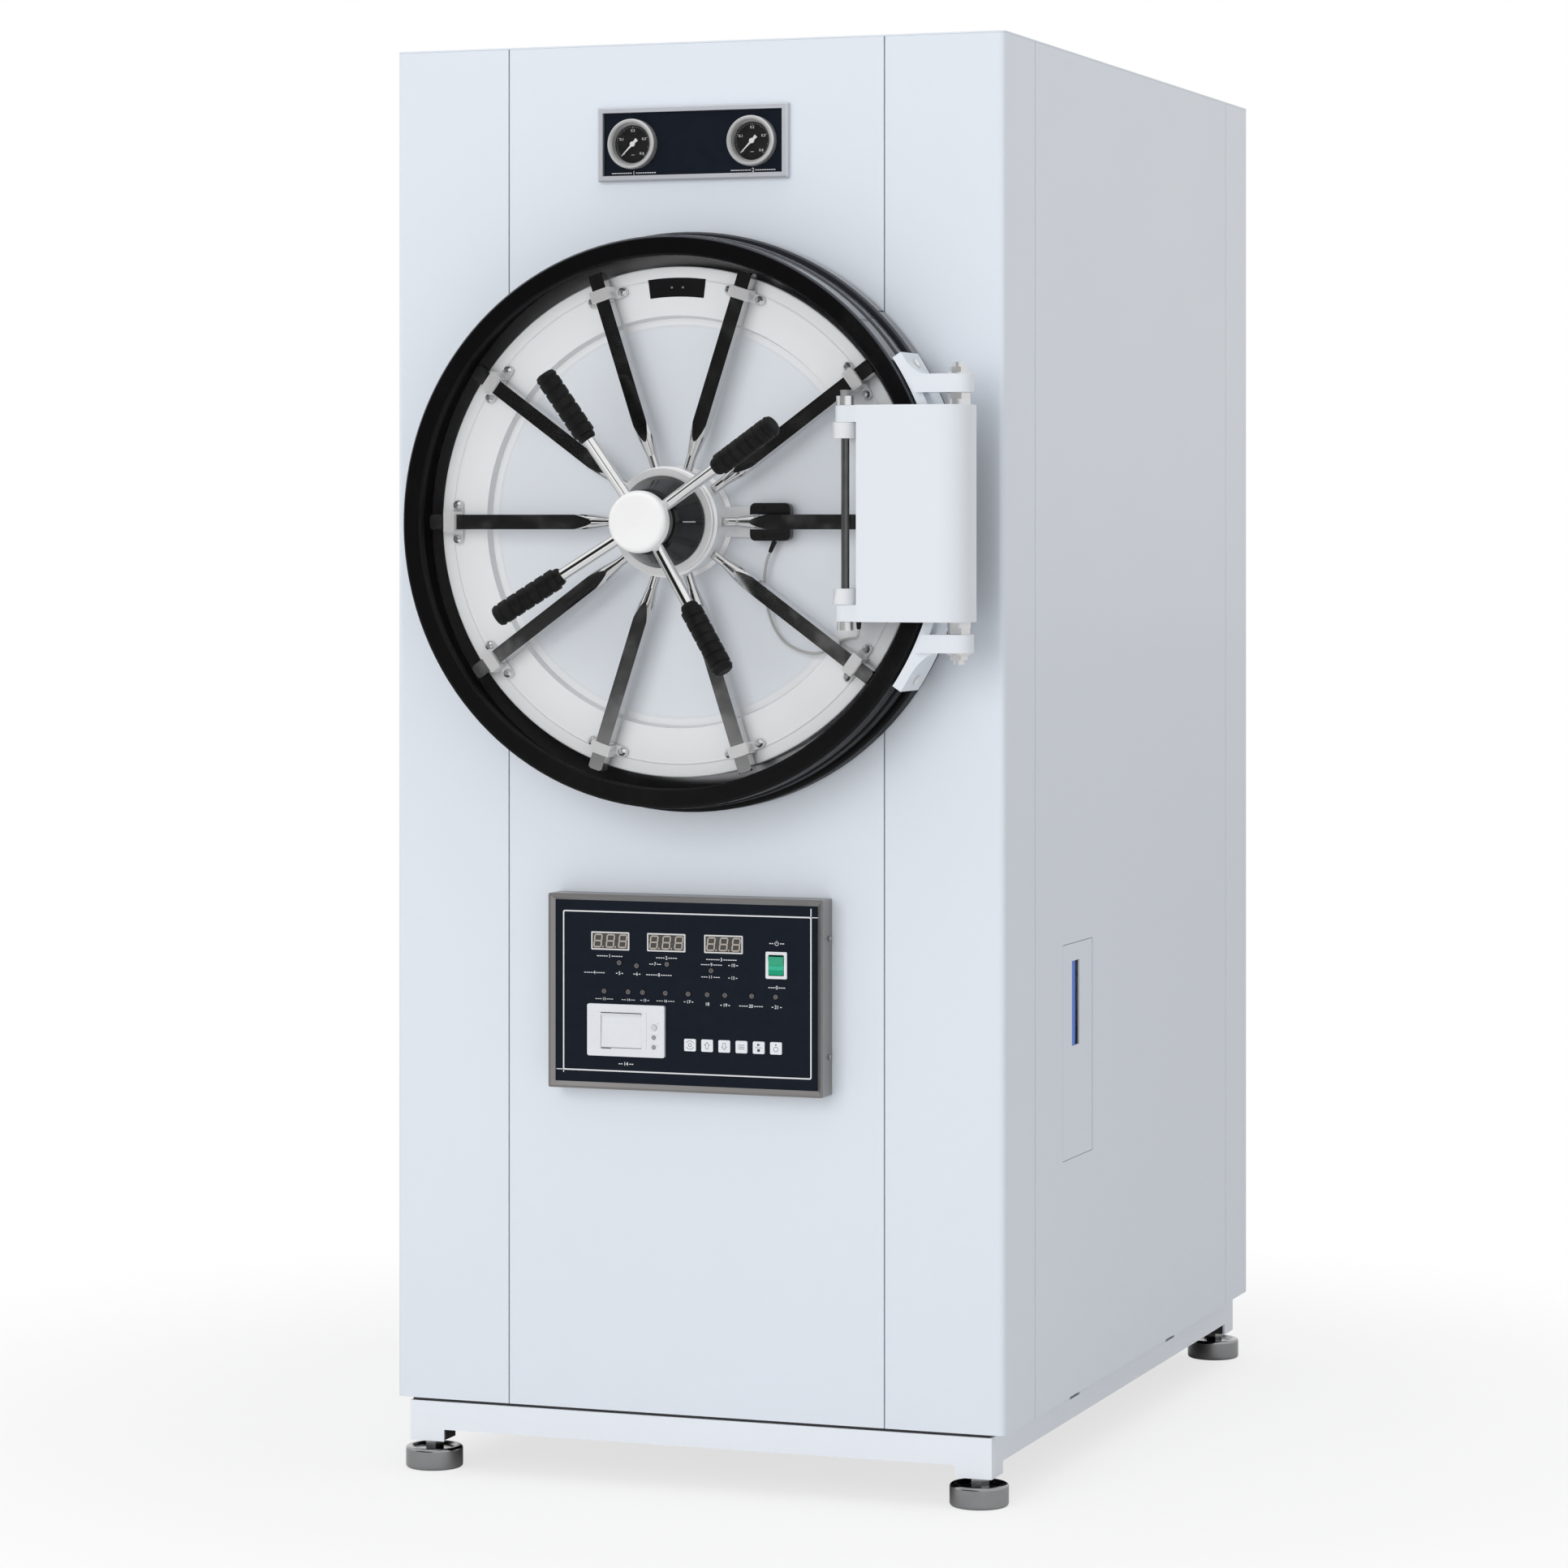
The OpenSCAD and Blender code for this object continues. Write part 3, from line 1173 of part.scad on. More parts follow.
module control_box() color("silver") front(base_h + control_z) {
    difference() {
        plate(control_w, control_h, seat, control_proud, 2);
        plate(control_w - 2 * control_wall, control_h - 2 * control_wall, seat - over,
            control_proud - control_lip, 1);
        // Window with edges that slope in towards the plate
        hull() {
            plate(control_w - 2 * control_border, control_h - 2 * control_border,
                control_proud - control_lip - over, control_proud - control_lip, 0.5);
            plate(control_w - control_border / 2, control_h - control_border / 2,
                control_proud + over / 2, control_proud + over, 0.5);
        }
    }
    // Hinge screws on the right side and the catch side
    for (h = [-0.3, 0.3]) translate([control_w / 2, h * control_h, control_proud / 3])
        rotate([0, 90, 0]) screw_head(3.5, 3);
}

module control_plate() color("midnightblue") front(base_h + control_z) difference() {
    union() {
        plate(control_w - 2 * control_wall - 2 * seat, control_h - 2 * control_wall - 2 * seat,
            plate_face - plate_t, plate_face, 1);
        // Frames of the three displays
        for (x = [-99, -25, 50]) translate([x, 62.5, 0]) difference() {
            plate(50, 22, plate_face - 1, plate_face + 0.8, 1);
            plate(46, 18, plate_face, plate_face + 2, 0.6);
        }
        // Bezel of the power rocker
        translate([rocker_at[0], rocker_at[1], 0])
            plate(rocker_w + 8, rocker_h + 8, plate_face - 1, plate_face + 2.2, 1.5);
        // Indicator lamps
        for (p = lamps) translate([p[0], p[1], plate_face - 1]) screw_head(2.8, 2.6);
    }
    translate([printer_at[0], printer_at[1], 0]) plate(printer_w - 8, printer_h - 8,
        plate_face - plate_t - over, plate_face + over, 1);
    translate([rocker_at[0], rocker_at[1], 0]) plate(rocker_w + 2 * slide, rocker_h + 2 * slide,
        plate_face - plate_t - over, plate_face + 3, 1);
    for (i = [0 : 5]) translate([key_at[0] + i * key_pitch, key_at[1], 0])
        plate(key_w + 2 * slide, key_w + 2 * slide, plate_face - plate_t - over, plate_face + over, 2);
}

lamps = concat([[-87, 36], [-64, 33], [-24, 36], [34, 30]],
    [for (x = [-107, -75, -56, -26, 4, 29, 52, 87, 118]) [x, 0.5]]);

module key(index) color("white") front(base_h + control_z)
    translate([key_at[0] + index * key_pitch, key_at[1], 0]) {
        plate(key_w, key_w, plate_face - plate_t, plate_face + key_travel + 0.8, 1.6);
        plate(key_w + 4, key_w + 4, plate_face - plate_t - 2, plate_face - plate_t - slide, 1.6);
    }
module key_1() key(0);
module key_2() key(1);
module key_3() key(2);
module key_4() key(3);
module key_5() key(4);
module key_6() key(5);

// Rocker with two faces that meet at its middle, tilted to off at rest.
module power_rocker() color("seagreen") front(base_h + control_z)
    translate([rocker_at[0], rocker_at[1], plate_face]) rotate([rocker_tilt / 2, 0, 0]) {
        translate([-rocker_w / 2, 0, 0]) rotate([90, 0, 90]) linear_extrude(rocker_w) polygon([
            [-rocker_h / 2 + 1.5, -5], [rocker_h / 2 - 1.5, -5], [rocker_h / 2 - 1, 4.6],
            [0, 2.6], [-rocker_h / 2 + 1, 4.6]]);
        // Axle stubs that it tilts on
        rotate([0, 90, 0]) cylinder(d = axle_d, h = rocker_w + slide, center = true, $fn = 32);
    }
axle_d = 3;

printer_proud = 5;
printer_deep = 48;

module printer_body() color("white") front(base_h + control_z) difference() {
    union() {
        translate([printer_at[0], printer_at[1], 0]) {
            plate(printer_w, printer_h, plate_face + seat, plate_face + printer_proud, 2.5);
            plate(printer_w - 8 - 2 * seat, printer_h - 8 - 2 * seat, plate_face - printer_deep,
                plate_face + 1, 1);
        }
        for (i = [1, 2]) translate([button_at[0], button_at[1] - 12 * i, plate_face + printer_proud])
            screw_head(2.6, 1.8);
    }
    translate([door_at[0], door_at[1], 0])
        plate(54, 44, plate_face - printer_deep + 3, plate_face + printer_proud + over, 1);
    translate([button_at[0], button_at[1], 0]) disc(3.6 + slide, plate_face - 8, plate_face + 9);
}

// Paper door: a curved front with a tear-off lip along its top, hinged along its bottom.
module printer_door() color("white") front(base_h + control_z)
    translate([door_at[0], door_at[1], plate_face]) {
        w = 54 - 2 * slide;
        rotate([90, 0, 90]) translate([0, 0, -w / 2]) linear_extrude(w) {
            polygon([[-19.7, 0.7], [-19.7, 4.7], [10, 3.2], [16, 3.4], [19, 5.2], [20, 7.6],
                [21, 7.4], [21, 4.6], [18, 1.4], [10, 0.6]]);
            translate([-19.7, 2.7]) circle(2, $fn = 32);
        }
    }

module printer_button() color("gainsboro") front(base_h + control_z)
    translate([button_at[0], button_at[1], 0]) {
        disc(3.6, plate_face - 6, plate_face + printer_proud + 1.6);
    }

// Machinery inside

box_d = 110;
module electric_box() color("silver") inside() {
    w = control_w - 6 * control_border - 4 * seat;
    h = control_h - 6 * control_border - 4 * seat;
    translate([-w / 2, -8, base_h + control_z - h / 2]) difference() {
        cube([w, box_d, h]);
        translate([sheet_t, -over, sheet_t]) cube([w - 2 * sheet_t, 60, h - 2 * sheet_t]);
    }
}

boiler_r = 120;
boiler_l = 400;
boiler_side = 60;
boiler_up = 240;
valve_gap = 120;
boiler_at = [-boiler_side, (saddle_y[0] + saddle_y[1]) / 2, base_h + boiler_up];
boiler_leg = 110;
gland_d = 24;
pipe_d = 22;
// Outer diameter and length of the stubs that hoses are pushed onto
port_d = 28;
port_l = 12;
drain_z = 560;
steam_z = 700;

// Steam generator: a shell with dished ends, two legs and a flanged heater plate.
module steam_generator() color("silver") inside() translate(boiler_at) {
    half = boiler_l / 2;
    end = boiler_r / 3;
    in_r = boiler_r - shell_t / 2;
    difference() {
        union() {
            rotate([-90, 0, 0]) revolve(concat([[0, -half]],
                [for (a = [75 : -15 : 0]) [boiler_r * cos(a), end - half - end * sin(a)]],
                [for (a = [0 : 15 : 75]) [boiler_r * cos(a), half - end + end * sin(a)]],
                [[0, half]]));
            for (y = [-1, 1]) difference() {
                span([-boiler_r * 0.8, boiler_r * 0.8],
                    [y * boiler_leg - saddle_t / 2, y * boiler_leg + saddle_t / 2],
                    [rail_top + seat - boiler_at[2], -boiler_r * 0.4]);
                span([-boiler_r * 0.4, boiler_r * 0.4],
                    [y * boiler_leg - saddle_t, y * boiler_leg + saddle_t],
                    [rail_top - boiler_at[2] - over, -boiler_r * 1.15]);
            }
        }
        rotate([90, 0, 0]) disc(in_r, end - half, half - end);
        // Steam outlet on top
        translate([0, -boiler_leg, 0]) cylinder(d = pipe_d / 2, h = boiler_r + over, $fn = 32);
    }
    rotate([90, 0, 0]) disc(boiler_r * 0.6, half - 20, half + 12);
}

// A pipe through the given points, with rounded corners.
module pipe(points, d = pipe_d) for (i = [0 : len(points) - 2]) {
    step = points[i + 1] - points[i];
    translate(points[i]) rotate([0, acos(step[2] / norm(step)), atan2(step[1], step[0])])
        cylinder(d = d, h = norm(step), $fn = 32);
    if (i > 0) translate(points[i]) sphere(d = d, $fn = 32);
}

// A solenoid valve: a block on the pipe and a coil standing on it.
module valve(at) translate(at) {
    cube([44, 44, 36], center = true);
    cylinder(d = 34, h = 62, $fn = 48);
    translate([0, 0, 62]) hexagon(9, 8);
}

module pipework() color("silver") inside() {
    mouth = chamber_d / 2 + shell_t / 2 + nozzle_l + seat;
    near = -nozzle_at[0];
    far = -nozzle_at[1];
    out_y = cabinet_d + rear_reach;
    out_z = base_h + port_z;
    behind = chamber_l - flange_f + head_d + shell_t + wool_t + pipe_d + 12;
    boiler_top = boiler_at[2] + boiler_r - pipe_d / 2;
    difference() {
        union() {
            // Steam from the generator up to the front nozzle
            pipe([[boiler_at[0], boiler_at[1] - boiler_leg, boiler_top + pipe_d * 0.8],
                [boiler_at[0], boiler_at[1] - boiler_leg, steam_z], [-boiler_at[0],
                boiler_at[1] - boiler_leg, steam_z], [-boiler_at[0], near, steam_z],
                [0, near, steam_z], [0, near, axis_h - mouth]]);
            // Drain from the rear nozzle
            pipe([[0, far, axis_h - mouth], [0, far, drain_z], [-port_pitch, far, drain_z],
                [-port_pitch, behind, drain_z], [-port_pitch, behind, out_z],
                [-port_pitch, out_y, out_z]]);
            // Water feed to the generator
            pipe([[0, out_y, out_z], [0, behind, out_z], [boiler_at[0], behind, out_z],
                [boiler_at[0], boiler_at[1] + boiler_l / 2 + seat, out_z]]);
            // Exhaust from the top nozzle
            pipe([[0, far, axis_h + mouth], [0, far, axis_h + mouth + 3 * pipe_d],
                [port_pitch, far, axis_h + mouth + 3 * pipe_d],
                [port_pitch, behind, axis_h + mouth + 3 * pipe_d],
                [port_pitch, behind, out_z], [port_pitch, out_y, out_z]]);
            // Flanges on the nozzles, unions on the ports
            for (at = [[near, -1], [far, -1], [near, 1], [far, 1]])
                translate([0, at[0], axis_h + at[1] * (mouth + 5)])
                    cylinder(d = 2 * pipe_d, h = 10, center = true, $fn = 48);
            for (i = [-1 : 1]) translate([i * port_pitch, out_y, out_z]) rotate([90, 0, 0]) {
                cylinder(d = port_d, h = port_l, $fn = 48);
                cylinder(d = pipe_d, h = rear_reach + fold_w / 2, $fn = 48);
                translate([0, 0, rear_reach * 0.56]) hexagon(pipe_d * 0.9, rear_reach * 0.44 - seat);
            }
            // Safety valve on the front nozzle, with a tee for the gauges
            translate([0, near, axis_h + mouth]) {
                cylinder(d = pipe_d + 8, h = 70, $fn = 48);
                translate([0, 0, 70]) cylinder(d1 = pipe_d + 14, d2 = pipe_d, h = 24, $fn = 48);
            }
            for (x = [-1, 1]) pipe([
                [x * gauge_pitch / 2, gauge_cup_l + 15, base_h + gauge_panel_z],
                [x * gauge_pitch / 2, near, base_h + gauge_panel_z],
                [x * gauge_pitch / 2, near, axis_h + mouth + 50], [0, near, axis_h + mouth + 50]], 7);
            valve([-port_pitch, behind, drain_z]);
            valve([boiler_at[0], behind - valve_gap, out_z]);
            valve([-boiler_at[0], boiler_at[1] - boiler_leg, steam_z]);
        }
        for (i = [-1 : 1]) translate([i * port_pitch, out_y + over, out_z]) rotate([90, 0, 0])
            cylinder(d = pipe_d - 6, h = rear_reach + over, $fn = 32);
    }
}

// Service flap in the right side panel
flap_t = 4 * sheet_t;

module service_flap() color("whitesmoke") inside() translate([cabinet_w / 2, flap_mid, base_h + flap_z])
    difference() {
        // The rear edge is round about the hinge's axis
        linear_extrude(flap_h) {
            translate([-flap_t, -flap_w / 2]) square([flap_t, flap_w - flap_t / 2]);
            translate([-flap_t / 2, flap_w / 2 - flap_t / 2]) circle(d = flap_t, $fn = 48);
        }
        translate([-flap_t - over, -flap_w / 2 + sheet_t, sheet_t])
            cube([flap_t - sheet_t + over, flap_w - sheet_t - flap_t, flap_h - 2 * sheet_t]);
        translate([-sheet_t - over, -slot_w / 2 - flap_w * 0.08, flap_h * 0.72 - slot_h / 2])
            cube([sheet_t + 2 * over, slot_w, slot_h]);
    }

front_panels();
corner_columns();
side_panels();
rear_panel();
top_cover();
base_skirt();
feet();
base_frame();
upper_frame();
chamber();
insulation();
locking_ring();
hinge_brackets();
hinge_pins();
gauge_frame();
gauge_plate();
gauges();
gauge_glasses();
gauge_needle_left();
gauge_needle_right();
control_box();
control_plate();
printer_body();
printer_door();
printer_button();
power_rocker();
key_1();
key_2();
key_3();
key_4();
key_5();
key_6();
electric_box();
steam_generator();
pipework();
service_flap();
hinge_arm();
door_pivot_rod();
door_plate();
door_gasket();
lock_housing();
bar_guides();
guide_bolts();
latch_plate();
lock_sensor();
sensor_cable();
scroll_plate();
handwheel_spider();
handwheel_cone();
handwheel_grips();
locking_bar_1();
locking_bar_2();
locking_bar_3();
locking_bar_4();
locking_bar_5();
locking_bar_6();
locking_bar_7();
locking_bar_8();
locking_bar_9();
locking_bar_10();
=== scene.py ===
"""Horizontal autoclave: finishes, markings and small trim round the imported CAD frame.

Lengths are in metres in the frame's own directions: X to the right seen from the front,
Y into the machine, Z up. Marks on the panels are drawn in millimetres from a panel's middle.
"""

import json
import math

import bmesh
import bpy
from bpy.props import (
    FloatProperty,
    FloatVectorProperty,
    IntProperty,
    PointerProperty,
)
from mathutils import Matrix, Vector

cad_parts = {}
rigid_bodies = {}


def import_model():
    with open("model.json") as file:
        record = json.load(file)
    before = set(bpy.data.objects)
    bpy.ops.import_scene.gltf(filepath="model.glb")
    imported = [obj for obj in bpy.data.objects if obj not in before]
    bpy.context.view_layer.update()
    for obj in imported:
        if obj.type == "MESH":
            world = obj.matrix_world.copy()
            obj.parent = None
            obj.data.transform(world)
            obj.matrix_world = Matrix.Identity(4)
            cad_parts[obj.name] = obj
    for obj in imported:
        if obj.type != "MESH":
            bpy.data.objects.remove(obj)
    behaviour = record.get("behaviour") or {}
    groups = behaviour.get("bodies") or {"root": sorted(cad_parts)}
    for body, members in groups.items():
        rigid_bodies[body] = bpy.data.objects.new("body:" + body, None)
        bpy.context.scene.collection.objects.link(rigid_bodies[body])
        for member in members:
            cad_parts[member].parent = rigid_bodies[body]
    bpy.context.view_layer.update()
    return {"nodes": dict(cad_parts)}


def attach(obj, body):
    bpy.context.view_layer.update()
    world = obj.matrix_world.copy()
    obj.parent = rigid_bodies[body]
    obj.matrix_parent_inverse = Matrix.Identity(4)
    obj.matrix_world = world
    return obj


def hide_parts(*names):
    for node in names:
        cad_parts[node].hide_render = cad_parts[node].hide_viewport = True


bl_info = {
    "name": "Horizontal autoclave",
    "version": (1, 0, 0),
    "blender": (4, 5, 0),
    "location": "View3D > Sidebar > Autoclave",
    "description": "Finishes, markings and small trim of a free-standing horizontal autoclave",
    "category": "Object",
}

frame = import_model()

# Planes and centres of the frame, in metres
FRONT_Y = -0.4925
REAR_Y = 0.6825
AXIS_Z = 1.191
GAUGE_Z = 1.658
CONTROL_Z = 0.612

# Turned pieces round the door's axis, in metres: radius, and how far they stand in front of the cabinet
RING_R, RING_PROUD = 0.348, 0.1
CAP_R, CAP_PROUD = 0.0377, 0.1786
DISH_R, DISH_RISE = 0.244, 0.42
PIVOT_RISE, PIVOT_NUT_REACH = 0.010, 0.1286

# Faces that carry marks and trim, in millimetres in front of the cabinet
GAUGE_PLATE_FACE = 3.22
DIAL_BACK, DIAL_FIGURES, DIAL_TICKS = 6.02, 6.46, 6.49
PLATE_FACE = 29.8
KEY_FACE = 31.6
PRINTER_FACE = 34.82
PRINTER_LAMP_FACE = 36.0
LATCH_FACE = 57.6
SKIN = 0.02

# Lock sensor's lead: its thickness and length in metres, and its route in millimetres, as X, height
# about the axis and distance in front of the cabinet
LEAD_THICK, LEAD_LENGTH = 0.0035, 0.284
LEAD_ROUTE = (
    (126, -23.2, 56), (122.6, -30.5, 56.5), (119.4, -37.9, 56.4), (116.4, -45.4, 56.2),
    (114.3, -53.3, 55.9), (113.1, -61.2, 55.4), (112.5, -69.3, 55.1), (112.6, -77.4, 54.9),
    (113.2, -85.5, 54.9), (114.2, -93.5, 55), (115.7, -101.4, 55), (117.7, -109.3, 55),
    (120.1, -117, 55), (123.2, -124.5, 55), (127.1, -131.6, 55.1), (131.7, -138.2, 55.3),
    (137.2, -144.2, 55.5), (143.6, -149, 55.7), (150.8, -152.8, 55.8), (158.3, -155.9, 56.1),
    (166.1, -158, 56.4), (174.1, -159, 57), (182, -158.7, 58.4), (189.8, -157.1, 60),
    (197, -153.7, 61.3), (203.8, -149.5, 62.4), (210.4, -144.9, 62.6), (217.5, -142, 65.1),
    (224, -140.7, 69.8), (229.4, -140.2, 75.8), (234.4, -139.9, 82.1), (239.2, -139.6, 88.6),
    (243.9, -138.6, 95.1), (248, -135.7, 101.3), (250, -128.4, 104), (250, -119.4, 104),
)

# Indicator lamps on the control panel: X and height about its middle, in millimetres
LAMPS = (
    (-87, 36), (-64, 33), (-24, 36), (34, 30),
    (-107, 0.5), (-75, 0.5), (-56, 0.5), (-26, 0.5), (4, 0.5), (29, 0.5),
    (52, 0.5), (87, 0.5), (118, 0.5),
)
# Plain numbers on the control panel: X, height about its middle, width of the whole mark, figure height
LABELS = (
    (-100, 43.7, 36, 4.4), (-25, 43.5, 32, 4.4), (47, 43.5, 40, 4.4),
    (-120.4, 22.9, 32, 4.0), (-87, 22.9, 10.5, 4.2), (-64, 22.6, 11, 4.2), (-40, 35.5, 16, 4.2),
    (-34.9, 22.3, 34, 4.2), (34, 37, 30, 4.2), (62.3, 37, 13, 4.2), (32.8, 21.9, 27, 3.8),
    (62, 21.6, 15, 3.8), (-107.4, -9.2, 26, 3.4), (-75.3, -9.5, 20, 3.4), (-53.6, -9.4, 16, 3.4),
    (-26.3, -9.4, 26, 3.4), (4, -9.4, 17, 4.0), (28.6, -11.4, 12.5, 4.2), (52, -12, 14, 4.2),
    (85.6, -12, 32, 4.2), (119, -12.2, 18, 4.4),
)
LABEL_FIGURE = 0.0042

# Middles of the pieces on the two panels, in millimetres from the panel's own middle
GAUGE_X = 78.5
DISPLAYS = (-99, -25, 50)
DISPLAY_UP = 62.5
DIGIT_PITCH = 16.4
KEYS_AT, KEY_PITCH = (6.5, -62), 22.4
ROCKER_AT = (119, 39)
PRINTER_AT = (-77, -47)
PAPER_DOOR_AT = (-83, -47)
PRINTER_STRIPS_X = (-113.2, -52.6)
PRINTER_SLIT_AT = (-103.0, -69.4)
PRINTER_LAMPS_AT, PRINTER_LAMP_PITCH = (-39.5, -54), 12
PANEL_LINE = (-161.4, 163.2, 98.3, -97.7)

# Trim in millimetres: the index line's two ends as radius and distance forward, and the latch's screws
INDEX_LINE = ((50.15, 127.0), (41.9, 148.4))
CONE_NORMAL = (42.7, 0, 16.5)
LATCH_SCREWS = ((-7.2, 286.4, 0), (7.2, 286.4, 0))

# Strip in the service flap's finger slot, in metres
FLAP_STRIP_AT = (0.3991, -0.19860, 0.5844)
FLAP_STRIP_SIZE = (0.0012, 0.0148, 0.1064)

# Stage: the soft lights (place, aim, side and share of the key light's power), the radius of the floor,
# the distances over which its shadow fades out, and the way towards the room behind the camera
LIGHTS = {
    "key_light": ((-1.6, -8.8, 3.0), (0, -0.4, 1.0), 6.0, 1.0),
    "top_light": ((0.6, -0.6, 4.6), (0, 0, 1.0), 2.6, 0.1),
}
FLOOR_R = 60
SHADOW_FADE = (0.7, 1.8)
BEHIND_X, BEHIND_Y = -0.36, -0.93


# Sizes and colours that a user may change


class AutoclaveColours(bpy.types.PropertyGroup):
    """Colours of the painted, printed and moulded pieces."""

    cabinet: FloatVectorProperty(
        name="Cabinet", description="Powder coat of the panels and columns",
        subtype="COLOR", size=3, min=0, max=1, default=(0.765, 0.815, 0.885))
    skirt: FloatVectorProperty(
        name="Skirt", description="Powder coat of the base skirt",
        subtype="COLOR", size=3, min=0, max=1, default=(0.84, 0.88, 0.94))
    door: FloatVectorProperty(
        name="Door", description="Powder coat of the door plate and hinge arm",
        subtype="COLOR", size=3, min=0, max=1, default=(0.78, 0.82, 0.87))
    ring: FloatVectorProperty(
        name="Locking ring", description="Black enamel of the locking ring",
        subtype="COLOR", size=3, min=0, max=1, default=(0.0045, 0.0045, 0.005))
    panel: FloatVectorProperty(
        name="Panel ink", description="Dark ink of the gauge and control plates",
        subtype="COLOR", size=3, min=0, max=1, default=(0.006, 0.0095, 0.017))
    rocker: FloatVectorProperty(
        name="Power rocker", description="Green plastic of the power rocker",
        subtype="COLOR", size=3, min=0, max=1, default=(0.0, 0.36, 0.19))
    edge_strip: FloatVectorProperty(
        name="Edge strip", description="Strip in the flap's finger slot",
        subtype="COLOR", size=3, min=0, max=1, default=(0.02, 0.16, 0.75))


class AutoclaveDials(bpy.types.PropertyGroup):
    """Sizes of the scales of the two pressure gauges."""

    radius: FloatProperty(
        name="Dial radius", description="Radius of the printed dial face",
        unit="LENGTH", default=0.0236, min=0.02, max=0.024)
    tick_ring: FloatProperty(
        name="Tick ring", description="Radius of the outer ends of the ticks",
        unit="LENGTH", default=0.0222, min=0.018, max=0.0235)
    ticks: IntProperty(
        name="Ticks", description="Number of small divisions over the sweep", default=40, min=10, max=80)
    sweep: FloatProperty(
        name="Sweep", description="Angle between the first and the last tick",
        subtype="ANGLE", default=math.radians(270), min=1, max=6)
    figure: FloatProperty(
        name="Figures", description="Height of the figures on the dials",
        unit="LENGTH", default=0.0042, min=0.002, max=0.006)


class AutoclavePrint(bpy.types.PropertyGroup):
    """Sizes of the marks printed on the control panel."""

    line: FloatProperty(
        name="Border line", description="Width of the white border line",
        unit="LENGTH", default=0.0017, min=0.0005, max=0.003)
    figure: FloatProperty(
        name="Lamp figures", description="Height of the figures under the lamps",
        unit="LENGTH", default=LABEL_FIGURE, min=0.002, max=0.008)
    lamp: FloatProperty(
        name="Lamp ring", description="Radius of the light rings round the lamps",
        unit="LENGTH", default=0.0030, min=0.0029, max=0.004)


class AutoclaveStudio(bpy.types.PropertyGroup):
    """Place of the camera and strength of the light."""

    camera: FloatVectorProperty(
        name="Camera", description="Place of the camera",
        subtype="TRANSLATION", size=3, default=(2.117, -6.0428, 1.1869))
    turn: FloatProperty(
        name="Turn", description="Turn of the camera from straight ahead to the left",
        subtype="ANGLE", default=math.radians(19.81))
    lens: FloatProperty(
        name="Lens", description="Focal length of the camera in millimetres",
        default=110.7, min=20, max=300)
    shift: FloatProperty(
        name="Shift", description="Upright shift of the picture", default=-0.165, min=-1, max=1)
    key_light: FloatProperty(
        name="Key light", description="Power of the soft light from the front left",
        default=290, min=0, max=2000)
    sky: FloatProperty(
        name="Sky", description="Strength of the even light from all round",
        default=0.57, min=0, max=2)


# Shader and geometry node making


class Signal:
    """A node socket that takes part in Python sums."""

    def __init__(self, maker, socket):
        self.maker, self.socket = maker, socket

    def __add__(self, other):
        return self.maker.maths("ADD", self, other)

    def __sub__(self, other):
        return self.maker.maths("SUBTRACT", self, other)

    def __mul__(self, other):
        return self.maker.maths("MULTIPLY", self, other)

    def __truediv__(self, other):
        return self.maker.maths("DIVIDE", self, other)

    def __rsub__(self, other):
        return self.maker.maths("SUBTRACT", other, self)

    __radd__, __rmul__ = __add__, __mul__


class NodeMaker:
    """Adds nodes to a tree: a type, its settings first, then the values or links of its sockets."""

    def __init__(self, tree):
        self.tree = tree

    def add(self, kind, settings=None, sockets=None, out=0):
        node = self.tree.nodes.new(kind)
        for name, value in (settings or {}).items():
            if name == "stops":
                while len(node.color_ramp.elements) < len(value):
                    node.color_ramp.elements.new(0.5)
                for stop, (place, colour) in zip(node.color_ramp.elements, value):
                    stop.position, stop.color = place, colour
            else:
                setattr(node, name, value)
        for name, value in (sockets or {}).items():
            self.feed(node.inputs[name], value)
        return Signal(self, node.outputs[out])

    def feed(self, socket, value):
        if isinstance(value, Signal):
            self.tree.links.new(value.socket, socket)
        else:
            socket.default_value = value

    def maths(self, operation, *values):
        return self.add("ShaderNodeMath", {"operation": operation}, dict(enumerate(values)))

    def vector(self, x=0.0, y=0.0, z=0.0):
        return self.add("ShaderNodeCombineXYZ", None, {"X": x, "Y": y, "Z": z})

    def spread(self, value, low, high):
        """Value from 0 below low to 1 above high, with soft ends."""
        return self.add("ShaderNodeMapRange", {"interpolation_type": "SMOOTHSTEP"}, {
            "Value": value, "From Min": low, "From Max": high})


